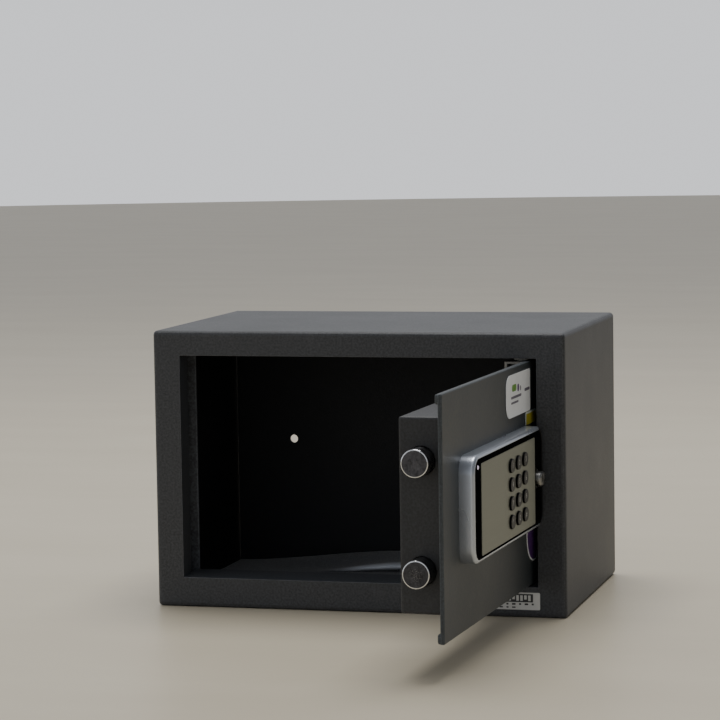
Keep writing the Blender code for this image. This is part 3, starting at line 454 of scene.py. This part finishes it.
def copper_winding(name):
    """Lacquered copper wire wound round the solenoid's bobbin."""
    n = Nodes(name)
    turns = n.waves(n.split(n.place(True))["Z"], 0.6 * MM)
    colour = n.mix(n.remap(turns, -1.0, 1.0, 0.0, 1.0), (0.22, 0.07, 0.02), (0.62, 0.25, 0.09))
    n.set(base_color=colour, metallic=0.7, roughness=0.33, normal=n.bump(turns, 0.0001, 0.8))
    return n.material


CHARCOAL = (0.0378, 0.0402, 0.0448)
DOOR_GREY = (0.0320, 0.0380, 0.0425)

LOOKS = {
    "body": powder_coat("body_powder_coat", CHARCOAL, edge_rub_and_highlight=0.9, shine=0.42, painted_inner_light_and_shade=0.35),
    "door": powder_coat("door_powder_coat", DOOR_GREY, on_door=True, edge_rub_and_highlight=1.0, shine=0.4),
    # painted shade: the lock case uses the charcoal coat at half its brightness, standing for the shade the door
    # plate casts on it
    "shaded_case": powder_coat("case_powder_coat_painted_shade", shaded(CHARCOAL, 0.50), on_door=True, shine=0.45),
    # painted light: the keeper uses the body's charcoal coat at 2.4 times its brightness, standing for the light
    # its flange catches
    "painted_lit_keeper": powder_coat("keeper_coat_painted_light", shaded(CHARCOAL, 2.4)),
    "zinc": plated("zinc_plate", (0.60, 0.60, 0.58)),
    "body_zinc": plated("zinc_plate_body", (0.60, 0.60, 0.58), on_door=False),
    "chrome": chrome("polished_chrome"),
    "silver": silver_paint("silver_paint"),
    "gloss": dull_black("fascia_black"),
    "brushed": brushed_plate("brushed_plate"),
    "keys": key_plastic("key_plastic"),
    "knob": chrome("knob_chrome", (0.24, 0.24, 0.23), 0.20),
    "oiled": chrome("oiled_steel", (0.10, 0.10, 0.105), 0.22),
    "hinge_steel": plated("hinge_steel", (0.22, 0.215, 0.20), 0.40),
    "legend": printed_film("key_legend", (0.46, 0.46, 0.45)),
    "felt": needle_felt("needle_felt"),
    "nylon": soft_plastic("moulded_nylon", (0.055, 0.056, 0.058), rough=0.5),
    "pale_nylon": soft_plastic("natural_nylon", (0.55, 0.54, 0.49), rough=0.45),
    "lamp": lamp("lamp_lens", (0.62, 0.52, 0.70)),
    "reset": gloss_plastic("reset_red", (0.42, 0.018, 0.014), 0.22),
    "board": solder_mask("solder_mask"),
    "copper": copper_winding("copper_winding"),
    "cell": gloss_plastic("cell_jacket", (0.05, 0.07, 0.11), 0.2),
    "wire": soft_plastic("cable_jacket", (0.03, 0.03, 0.035), rough=0.4),
    "label": printed_film("label_white", (0.93, 0.96, 1.0)),
    "frame_label": printed_film("frame_label_white", (0.62, 0.62, 0.60), on_door=False),
    "yellow": printed_film("label_yellow", (0.46, 0.40, 0.03)),
    "pale": printed_film("label_pale", (0.60, 0.66, 0.62)),
    "purple": printed_film("label_purple", (0.085, 0.03, 0.15)),
    "ink": printed_film("ink_dark", (0.03, 0.03, 0.032)),
    "body_ink": printed_film("ink_dark_body", (0.03, 0.03, 0.032), on_door=False),
    "ink_green": printed_film("ink_green", (0.16, 0.36, 0.06)),
    "ink_grey": printed_film("ink_grey", (0.16, 0.15, 0.20)),
}
CAD_LOOKS = {
    "body_coat": "body", "door_coat": "door", "floor_lining": "felt", "plated_steel": "zinc",
    "spring_steel": "zinc", "chromed_steel": "chrome", "chromed_zinc": "chrome", "silver_plastic": "silver",
    "gloss_plastic": "gloss", "brushed_plate": "brushed", "key_rubber": "keys", "circuit_board": "board",
    "nylon": "nylon", "copper_coil": "copper", "cell_jacket": "cell", "lamp_lens": "lamp",
    "reset_plastic": "reset", "cable_jacket": "wire", "white_label": "label", "yellow_label": "pale",
    "purple_label": "label",
}
NODE_LOOKS = {"frame_label": "frame_label", "lock_case": "shaded_case", "bolt_keeper": "painted_lit_keeper"}
for end in ("upper", "lower"):
    NODE_LOOKS["hinge_pin_" + end] = "body_zinc"
    NODE_LOOKS["hinge_block_" + end] = "hinge_steel"
    NODE_LOOKS["hinge_washer_" + end] = "pale_nylon"
    NODE_LOOKS["bolt_bush_" + end] = "pale_nylon"
SLOTS = {entry["node"]: entry["material_slot"] for entry in frame["record"]["subparts"]}


def dress(item, look):
    item.data.materials.clear()
    item.data.materials.append(LOOKS[look])


def dress_cad():
    for name, node in frame["nodes"].items():
        dress(node, NODE_LOOKS.get(name, CAD_LOOKS[SLOTS[name]]))
        node.data.shade_smooth()
        node.data.set_sharp_from_angle(angle=math.radians(32))
        even = node.modifiers.new("even_normals", "WEIGHTED_NORMAL")
        even.keep_sharp = True


# ---- Building pieces, in metres, as if the door were shut ----
def link(name, mesh, look, body, on_door=True):
    """Add a piece that rides on a body and takes a material slot's finish."""
    made = bpy.data.objects.new(name, mesh)
    bpy.context.scene.collection.objects.link(made)
    if on_door:
        mesh.transform(OPEN_DOOR)
    mesh.materials.append(LOOKS[look])
    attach(made, body)
    return made


def finished(bm, name, angle=35):
    """A mesh from bm, smooth where its faces meet at less than angle degrees."""
    bmesh.ops.recalc_face_normals(bm, faces=bm.faces)
    mesh = bpy.data.meshes.new(name)
    bm.to_mesh(mesh)
    bm.free()
    mesh.shade_smooth()
    mesh.set_sharp_from_angle(angle=math.radians(angle))
    return mesh


def oval(centre, half_x, half_z, power, count):
    """Points of a superellipse in the door's plane."""
    points = []
    for index in range(count):
        angle = math.tau * index / count
        cosine, sine = math.cos(angle), math.sin(angle)
        points.append((centre[0] + half_x * math.copysign(abs(cosine) ** (2 / power), cosine),
                       centre[1] + half_z * math.copysign(abs(sine) ** (2 / power), sine)))
    return points


def rounded(box, radii, steps=12):
    """Points of a rectangle (x low, x high, z low, z high) with corner radii from low-left."""
    x_low, x_high, z_low, z_high = box
    corners = ((x_low, z_low, 180), (x_high, z_low, 270), (x_high, z_high, 0), (x_low, z_high, 90))
    points = []
    for (x, z, start), radius in zip(corners, radii):
        centre_x = x + radius if x == x_low else x - radius
        centre_z = z + radius if z == z_low else z - radius
        for step in range(steps + 1):
            angle = math.radians(start + 90 * step / steps)
            points.append((centre_x + radius * math.cos(angle), centre_z + radius * math.sin(angle)))
    return points


def skinned(bm, rings, looped):
    """The rings as vertices of bm, with faces between neighbours and, if looped, from last to first."""
    layers = [[bm.verts.new(point) for point in ring] for ring in rings]
    count = len(layers[0])
    for near, far in zip(layers, layers[1:] + layers[:1] if looped else layers[1:]):
        for index in range(count):
            after = (index + 1) % count
            bm.faces.new((near[index], near[after], far[after], far[index]))
    return layers


def stack(name, rings, angle=35):
    """A closed solid over rings of equal point count, each a list of Vectors."""
    bm = bmesh.new()
    layers = skinned(bm, rings, looped=False)
    bm.faces.new(layers[0])
    bm.faces.new(layers[-1])
    return finished(bm, name, angle)


def ring_loop(name, rings):
    """A closed ring-shaped solid: the last ring joins back to the first."""
    bm = bmesh.new()
    skinned(bm, rings, looped=True)
    return finished(bm, name)


def middle_of(low, high):
    """The (x, z) at the middle of a box."""
    return ((low.x + high.x) / 2, (low.z + high.z) / 2)


def at_depth(points, y):
    """Points of a door-plane outline as a ring at depth y."""
    return [Vector((x, y, z)) for x, z in points]


def film(name, points, y_near, y_far, look, body, on_door=True):
    """A thin plate from an outline in the door's plane."""
    rings = [at_depth(points, y_near), at_depth(points, y_far)]
    return link(name, stack(name, rings), look, body, on_door)


# ---- Fascia ----
BEZEL_CORNER = 12 * MM
BEZEL_ROLL = 2.5 * MM           # radius of the rolled front rim
BEZEL_BACK_REACH = 0.25 * MM    # how far it runs back towards the door's face
BEZEL_WALL = 2.2 * MM
HOLLOW_CORNER = 9.8 * MM
WINDOW_SPARE = 0.3 * MM
WINDOW_CORNER = 9.6 * MM
WINDOW_RIM = 0.35 * MM
WEB = 1.0 * MM                  # the bezel's thickness behind the inset


def grown(box, by):
    """A rectangle (x low, x high, z low, z high) moved outwards by a distance on every side."""
    return (box[0] - by, box[1] + by, box[2] - by, box[3] + by)


def plane_box(low, high):
    """The door-plane rectangle of a box."""
    return (low.x, high.x, low.z, high.z)


def quarter(steps):
    """Cosine and sine of steps + 1 angles from 0 to a right angle."""
    return [(math.cos(math.pi / 2 * step / steps), math.sin(math.pi / 2 * step / steps))
            for step in range(steps + 1)]


def fine_bezel():
    """Silver surround with a softly rolled front rim, open in front for the black inset."""
    low, high = shut_box("fascia_bezel")
    inset_low, inset_high = shut_box("fascia_inset")
    outside = plane_box(low, high)
    window = grown(plane_box(inset_low, inset_high), WINDOW_SPARE)
    web_back = inset_high.y + WEB
    sections = [(0.0, high.y + BEZEL_BACK_REACH)]
    for cosine, sine in quarter(8):
        sections.append((BEZEL_ROLL * (1 - cosine), low.y + BEZEL_ROLL * (1 - sine)))
    rings = []
    for shift, y in sections:
        rings.append(at_depth(rounded(grown(outside, -shift), (BEZEL_CORNER - shift,) * 4), y))
    for grow, y in ((WINDOW_RIM, low.y), (0.0, low.y + WINDOW_RIM), (0.0, web_back)):
        rings.append(at_depth(rounded(grown(window, grow), (WINDOW_CORNER + grow,) * 4), y))
    for y in (web_back, high.y):
        rings.append(at_depth(rounded(grown(outside, -BEZEL_WALL), (HOLLOW_CORNER,) * 4), y))
    piece = link("bezel_shell", ring_loop("bezel_shell", rings), "silver", "door")
    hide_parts("fascia_bezel")


# ---- Keys ----
LEGENDS = "123456789*0#"
LEGEND_SIZE = 5.2 * MM
LEGEND_THICK = 0.04 * MM
KEY_FLANGE = 1.14               # the hidden flange's size as a share of the cap's
FLANGE_THICK = 1.0 * MM
# The cap from its dished middle outwards: size as a share, and how many mm the step lies behind the rim.
KEY_TOP = ((0.30, 0.16), (0.62, 0.09), (0.82, 0.0), (0.90, 0.03), (0.95, 0.12), (0.985, 0.28), (1.0, 0.52))


def text_mesh(name, letters, size, centre, y):
    """Raised printing in the door's plane, centred on (x, z) and on depth y."""
    curve = bpy.data.curves.new(name, "FONT")
    curve.body = letters
    curve.size = size
    curve.align_x = "CENTER"
    curve.align_y = "CENTER"
    curve.extrude = LEGEND_THICK / 2
    curve.resolution_u = 3
    holder = bpy.data.objects.new(name + "_text", curve)
    bpy.context.scene.collection.objects.link(holder)
    bpy.context.view_layer.update()
    depsgraph = bpy.context.evaluated_depsgraph_get()
    mesh = bpy.data.meshes.new_from_object(holder.evaluated_get(depsgraph))
    bpy.data.objects.remove(holder, do_unlink=True)
    mesh.name = name
    mesh.materials.clear()
    upright = Matrix.Rotation(math.radians(90), 4, "X")
    mesh.transform(Matrix.Translation((centre[0], y, centre[1])) @ upright)
    return mesh


def fine_keys():
    """Oval keys with dished tops and rounded shoulders, each with a printed digit."""
    for index, letter in enumerate(LEGENDS):
        row, column = index // KEYS_ACROSS + 1, index % KEYS_ACROSS + 1
        node = f"key_row{row}_col{column}"
        low, high = shut_box(node)
        centre = middle_of(low, high)
        half_x = (high.x - low.x) / 2 / KEY_FLANGE
        half_z = (high.z - low.z) / 2 / KEY_FLANGE
        flange = high.y - FLANGE_THICK
        profile = [(size, low.y + behind * MM) for size, behind in KEY_TOP]
        profile += [(1.0, flange), (KEY_FLANGE, flange), (KEY_FLANGE, high.y)]
        rings = [at_depth(oval(centre, half_x * size, half_z * size, 2.35, 48), y) for size, y in profile]
        key = link(f"key_cap_{row}_{column}", stack(node, rings, 50), "keys", node + "_body")
        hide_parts(node)
        legend = text_mesh(f"legend_{row}_{column}", letter, LEGEND_SIZE, centre, low.y + 0.14 * MM)
        link(f"key_legend_{row}_{column}", legend, "legend", node + "_body")


# ---- Lamp ----
LENS_DOME = 0.9 * MM
LENS_STEPS = 7


def lamp_lens():
    """Domed lens on a short straight barrel."""
    low, high = shut_box("led_lens")
    centre = middle_of(low, high)
    radius = (high.x - low.x) / 2
    profile = []
    for step in range(LENS_STEPS):
        angle = math.pi / 2 * (step + 0.5) / LENS_STEPS
        profile.append((radius * math.sin(angle), low.y + LENS_DOME * (1 - math.cos(angle))))
    profile += [(radius, low.y + LENS_DOME + 0.05 * MM), (radius, high.y)]
    rings = [at_depth(oval(centre, size, size, 2, 32), y) for size, y in profile]
    lens = link("lamp_dome", stack("lamp_dome", rings, 60), "lamp", "door")
    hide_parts("led_lens")


# ---- Turn knob ----
KNOB_DISC = 2.6 * MM            # the base disc's thickness
GRIP_WIDE = 10.4 * MM
GRIP_ROLL = 1.7 * MM            # radius of the grip's rounded front edge
GRIP_INSET = 0.55 * MM          # how far the grip's ends stay inside the disc's rim
MARK_START = 1.6 * MM           # the pointer mark runs between these two, out from the axis
MARK_END = 5.6 * MM
MARK_WIDE = 0.7 * MM


def knob():
    """Round base disc with an oval grip bar, softly rounded and chromed."""
    low, high = shut_box("knob_grip")
    centre = middle_of(low, high)
    radius = (high.x - low.x) / 2
    disc_front = high.y - KNOB_DISC
    disc = [(radius - 0.9 * MM, disc_front), (radius - 0.35 * MM, disc_front + 0.15 * MM),
            (radius, disc_front + 0.6 * MM), (radius, high.y)]
    rings = [at_depth(oval(centre, size, size, 2, 64), y) for size, y in disc]
    base = link("knob_disc", stack("knob_disc", rings, 50), "knob", "knob")
    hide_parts("knob_grip")
    grip = [(GRIP_ROLL * (1 - sine), low.y + GRIP_ROLL * (1 - cosine)) for cosine, sine in quarter(6)]
    grip.append((0.0, disc_front + 0.3 * MM))
    half_long, half_wide = radius - GRIP_INSET, GRIP_WIDE / 2
    rings = []
    for shrink, y in grip:
        rings.append(at_depth(oval(centre, half_long - shrink, half_wide - shrink, 2.7, 64), y))
    link("knob_bar", stack("knob_bar", rings, 50), "knob", "knob")
    half_mark = MARK_WIDE / 2
    mark = (centre[0] - MARK_END, centre[0] - MARK_START, centre[1] - half_mark, centre[1] + half_mark)
    film("knob_mark", rounded(mark, (0.3 * MM,) * 4, 4), low.y - 0.02 * MM, low.y + 0.3 * MM,
         "ink", "knob")


# ---- Live bolts ----
RIM_WIDE = 0.85 * MM            # the bright rim's width at the end face
RIM_ROLL = 0.7 * MM             # radius of its rounded outer edge
# how worn and dirty each bolt's face is, which also sets the strength of its painted central glint
BOLT_WEAR_AND_GLINT = {"upper": 0.2, "lower": 0.75}


def bolt_profiles(low, high, radius):
    """(part, look, profile) of a bolt's rim, shank and end face; a profile is (radius, x) pairs."""
    rim = [(radius - RIM_WIDE, low.x + 0.1 * MM), (radius - 0.9 * RIM_WIDE, low.x)]
    for cosine, sine in quarter(6)[1:]:
        rim.append((radius - RIM_ROLL * (1 - sine), low.x + RIM_ROLL * (1 - cosine)))
    rim.append((radius, low.x + 1.2 * MM))
    shank = [(radius - 0.02 * MM, low.x + 1.25 * MM), (radius - 0.02 * MM, high.x)]
    face = [(radius - RIM_WIDE, low.x + 0.04 * MM), (radius - RIM_WIDE, low.x + 0.09 * MM)]
    return ("rim", "chrome", rim), ("shank", "oiled", shank), ("face", "turned", face)


def fine_bolts():
    """Oiled steel bolts with a bright rounded rim round a turned end face."""
    for side, wear_and_glint in BOLT_WEAR_AND_GLINT.items():
        node = "bolt_" + side
        low, high = shut_box(node)
        y = (low.y + high.y) / 2
        z = (low.z + high.z) / 2
        LOOKS["turned"] = turned_steel("turned_face_" + side, z, wear_and_glint)
        for part, look, profile in bolt_profiles(low, high, (high.z - low.z) / 2):
            rings = [turned_ring(x, y, z, size) for size, x in profile]
            name = f"{node}_{part}"
            piece = link(name, stack(name, rings, 40), look, "bolt_work")
            if part == "shank":
                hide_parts(node)


def turned_ring(x, y, z, radius, count=64):
    """A circle of points about a bolt's axis."""
    turns = [math.tau * index / count for index in range(count)]
    return [Vector((x, y + radius * math.cos(turn), z + radius * math.sin(turn))) for turn in turns]


# ---- Printed labels ----
PRINT = 0.05 * MM               # how far the ink stands off the paper
BAND_BLOCKS = 11
DASH_ROWS = ((14, 0.28, 0.38), (10, 0.10, 0.18))    # how many dashes, their bottom and top as shares
# A mark's ink and its edges as shares of the label: left, right, bottom, top.
FRAME_BAND = ("body_ink", 0.03, 0.90, 0.44, 0.92)
DOOR_LABEL_MARKS = (
    ("ink_green", 0.24, 0.42, 0.60, 0.76),
    ("purple", 0.46, 0.53, 0.56, 0.74),
    ("ink_grey", 0.57, 0.61, 0.56, 0.68),
    ("ink_grey", 0.20, 0.62, 0.43, 0.49),
    ("ink_grey", 0.20, 0.50, 0.31, 0.36),
    ("ink_grey", 0.76, 0.97, 0.50, 0.57),
)


def share_of(low, high, left, right, bottom, top):
    """A rectangle inside the box low to high, from its edges as shares of the box."""
    size = high - low
    return (low.x + size.x * left, low.x + size.x * right, low.z + size.z * bottom, low.z + size.z * top)


def label_prints():
    """Plain bars and blocks in place of any mark."""
    low, high = shut_box("door_label")
    for index, (ink, *edges) in enumerate(DOOR_LABEL_MARKS):
        area = share_of(low, high, *edges)
        round_off = min(area[1] - area[0], area[3] - area[2]) * 0.45
        film(f"door_label_bar_{index}", rounded(area, (round_off,) * 4, 6), low.y - PRINT, low.y,
             ink, "door")
    tag("tag_upper", "yellow", (0.0, 0.0, 0.8 * MM, 0.8 * MM), 1.5 * MM, 0.0)
    tag("tag_lower", "purple", (18.6 * MM, 4.6 * MM, 0.8 * MM, 0.8 * MM), 1.4 * MM, 1.4 * MM)
    frame_label_prints()


def tag(node, look, radii, border, foot):
    """A coloured print inside a plain border, which is foot wide along the bottom."""
    low, high = shut_box(node)
    area = (low.x + border, high.x - border, low.z + foot, high.z - border)
    film(node + "_print", rounded(area, radii, 8), low.y - PRINT, low.y, look, "door")


def frame_label_prints():
    """A dark band with a row of light blocks, over two rows of short dark dashes."""
    low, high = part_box("frame_label")
    blocks = [FRAME_BAND]
    for index in range(BAND_BLOCKS):
        start = 0.27 + 0.056 * index
        blocks.append(("frame_label", start, start + 0.036, 0.52 if index % 3 else 0.60, 0.84))
    for dashes, bottom, top in DASH_ROWS:
        for index in range(dashes):
            start = 0.08 + 0.060 * index + 0.02 * (index % 3)
            blocks.append(("body_ink", start, start + 0.030, bottom, top))
    for index, (ink, *edges) in enumerate(blocks):
        lift = PRINT * (2 if ink == "frame_label" else 1)
        outline = rounded(share_of(low, high, *edges), (0.2 * MM,) * 4, 3)
        film(f"frame_label_block_{index}", outline, low.y - lift, low.y,
             ink, "safe_body", on_door=False)


# ---- The lock's return spring ----
SPRING_WIRE = 0.35 * MM         # the wire's radius
SPRING_TURNS = 4


def plunger_spring():
    """Open coil round the plunger, built at one length, though the real spring shortens as the plunger is drawn
    down.
    """
    low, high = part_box("plunger_spring")
    middle = (low + high) / 2
    reach = (high.x - low.x) / 2 - SPRING_WIRE
    climb = high.z - low.z - 2 * SPRING_WIRE
    per_turn, sides = 32, 10
    count = SPRING_TURNS * per_turn
    rings = []
    for step in range(count + 1):
        angle = math.tau * step / per_turn
        out = Vector((math.cos(angle), math.sin(angle), 0.0))
        spot = Vector((middle.x, middle.y, low.z + SPRING_WIRE + climb * step / count)) + reach * out
        turns = (math.tau * side / sides for side in range(sides))
        rings.append([spot + SPRING_WIRE * (math.cos(turn) * out + math.sin(turn) * Vector((0, 0, 1)))
                      for turn in turns])
    spring = link("lock_spring", stack("spring", rings), "zinc", "door", on_door=False)
    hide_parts("plunger_spring")
    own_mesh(spring)


# ---- Felt floor mat ----
FOLD_HIGH = 8.0 * MM
FOLD_WIDE = 10.0 * MM
FOLD_CURL = 0.8                 # how far the fold's lip hangs over, as a share of its height
FOLD_FROM = 0.40                # the mesh rows from this share to the next one make the fold
FOLD_TO = 0.72
FOLD_PLACE = 140 * MM           # how far behind the front edge the crest lies
FOLD_SKEW = 7 * MM              # how much further back it lies towards the hinge side
REAR_RISE = 10.0 * MM
RIPPLE = 0.5 * MM
# In x, from the bolt side: where a rise starts, is full, starts to fall and has fallen.
FOLD_SPAN = (-78 * MM, -4 * MM, 60 * MM, 130 * MM)
REAR_SPAN = (-150 * MM, -20 * MM, 40 * MM, 140 * MM)


def ease(value, low, high):
    """0 below low, 1 above high, smooth between."""
    share = min(max((value - low) / (high - low), 0.0), 1.0)
    return share * share * (3 - 2 * share)


def swell(x, span, fall=1.0):
    """0 before the span, 1 in its middle, and fall less at its far end."""
    start, full, falling, fallen = span
    return ease(x, start, full) * (1 - fall * ease(x, falling, fallen))


def mat_point(x, along, low, high):
    """The mat's middle surface: flat in front, a rucked fold, then rising up the back wall."""
    fold = FOLD_HIGH * swell(x, FOLD_SPAN)
    rear = REAR_RISE * swell(x, REAR_SPAN, fall=0.4)
    crest = low.y + FOLD_PLACE + FOLD_SKEW * ease(x, -75 * MM, -5 * MM)
    start, end = crest - FOLD_WIDE / 2, crest + FOLD_WIDE / 2
    ripple = RIPPLE * math.sin(38 * x + 1.0) * math.sin(9 * along + 21 * x)
    if along < FOLD_FROM:
        share = along / FOLD_FROM
        return Vector((x, low.y + (start - low.y) * share, ripple * 0.2 * share))
    if along < FOLD_TO:
        share = (along - FOLD_FROM) / (FOLD_TO - FOLD_FROM)
        curl = FOLD_CURL * fold * math.sin(math.tau * share)
        height = fold * ease(share, 0, 1) + ripple * (0.2 + 0.8 * share)
        return Vector((x, start + FOLD_WIDE * share + curl, height))
    share = (along - FOLD_TO) / (1 - FOLD_TO)
    height = fold + (rear - fold) * ease(share, 0, 1) + ripple
    return Vector((x, end + (high.y - end) * share, height))


def felt_mat():
    """A soft felt mat, rucked up towards the hinge side and turned up against the back."""
    low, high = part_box("floor_mat")
    middle = (low.z + high.z) / 2
    columns, rows = 130, 110
    bm = bmesh.new()
    grid = []
    for row in range(rows + 1):
        line = []
        for column in range(columns + 1):
            x = low.x + (high.x - low.x) * column / columns
            spot = mat_point(x, row / rows, low, high)
            line.append(bm.verts.new((spot.x, spot.y, max(spot.z, 0.0) + middle)))
        grid.append(line)
    for near, far in zip(grid, grid[1:]):
        for index in range(columns):
            bm.faces.new((near[index], near[index + 1], far[index + 1], far[index]))
    mesh = bpy.data.meshes.new("felt_mat")
    bm.to_mesh(mesh)
    bm.free()
    mesh.shade_smooth()
    mat = link("felt_mat", mesh, "felt", "safe_body", on_door=False)
    body = mat.modifiers.new("thickness", "SOLIDIFY")
    body.thickness = (high.z - low.z) * 0.9
    body.offset = 0.0
    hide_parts("floor_mat")


# ---- Stage, light and camera ----
FLOOR_RADIUS = 9.0
SKY_COLOUR = (0.825, 0.84, 0.87, 1.0)
# Along an axis of the sky: where a fade starts and ends, and the brightness at each.
SKY_FADES = (("Z", 0.03, 0.30, 1.12, 0.64), ("X", 0.05, 0.75, 1.0, 0.32))


def pale_floor():
    bpy.ops.mesh.primitive_circle_add(vertices=96, radius=FLOOR_RADIUS, fill_type="NGON",
                                      location=(0, 0, 0))
    floor = bpy.context.object
    floor.name = "floor"
    n = Nodes("pale_floor")
    spot = n.place()
    soft = n.noise(n.scaled(spot, (3.0, 9.0, 1.0)), 1.0, 4.0, 0.6)
    colour = n.mix(n.remap(soft, 0.3, 0.7, 0.0, 1.0), (0.56, 0.50, 0.385), (0.60, 0.54, 0.42))
    n.set(base_color=colour, roughness=0.42, specular_ior_level=0.35)
    floor.data.materials.append(n.material)


def area_light(name, place, aim, size, energy, colour):
    data = bpy.data.lights.new(name, "AREA")
    data.shape = "RECTANGLE"
    data.size, data.size_y = size
    data.energy = energy
    data.color = colour
    lamp_object = bpy.data.objects.new(name, data)
    bpy.context.scene.collection.objects.link(lamp_object)
    lamp_object.location = place
    lamp_object.rotation_euler = (Vector(aim) - Vector(place)).to_track_quat("-Z", "Y").to_euler()


def lights():
    """A sky that fades upwards and to the right, and one large soft lamp overhead."""
    world = bpy.data.worlds.new("studio")
    bpy.context.scene.world = world
    world.use_nodes = True
    tree = world.node_tree
    background = tree.nodes["Background"]
    background.inputs["Color"].default_value = SKY_COLOUR
    way = tree.nodes.new("ShaderNodeSeparateXYZ")
    tree.links.new(tree.nodes.new("ShaderNodeTexCoord").outputs["Generated"], way.inputs[0])
    strength = tree.nodes.new("ShaderNodeMath")
    strength.operation = "MULTIPLY"
    for socket, (axis, low, high, first, last) in zip(strength.inputs, SKY_FADES):
        fade = tree.nodes.new("ShaderNodeMapRange")
        set_range(fade, low, high, first, last)
        tree.links.new(way.outputs[axis], fade.inputs["Value"])
        tree.links.new(fade.outputs["Result"], socket)
    tree.links.new(strength.outputs[0], background.inputs["Strength"])
    area_light("overhead", (0.0, 0.45, 2.4), (0.0, 0.0, 0.1), (1.5, 1.3), 45.0, (1.0, 0.985, 0.96))


CAMERA_PLACE = (0.5398, -2.0779, 0.3700)
CAMERA_YAW = 15.157             # the three turns in degrees, from looking straight along Y
CAMERA_PITCH = -5.142
CAMERA_ROLL = 0.877
CAMERA_LENS = 141.6             # in mm, on a sensor 36 mm wide


def camera():
    data = bpy.data.cameras.new("camera")
    data.lens = CAMERA_LENS
    data.sensor_width = 36.0
    data.clip_start = 0.05
    made = bpy.data.objects.new("camera", data)
    bpy.context.scene.collection.objects.link(made)
    aim = Matrix.Identity(4)
    for degrees, axis in ((CAMERA_YAW, "Z"), (CAMERA_PITCH, "X"), (CAMERA_ROLL, "Y"), (90, "X")):
        aim = aim @ Matrix.Rotation(math.radians(degrees), 4, axis)
    made.matrix_world = Matrix.Translation(CAMERA_PLACE) @ aim
    bpy.context.scene.camera = made


camera()
dress_cad()
fine_bezel()
fine_keys()
lamp_lens()
knob()
fine_bolts()
label_prints()
plunger_spring()
felt_mat()
pale_floor()
lights()
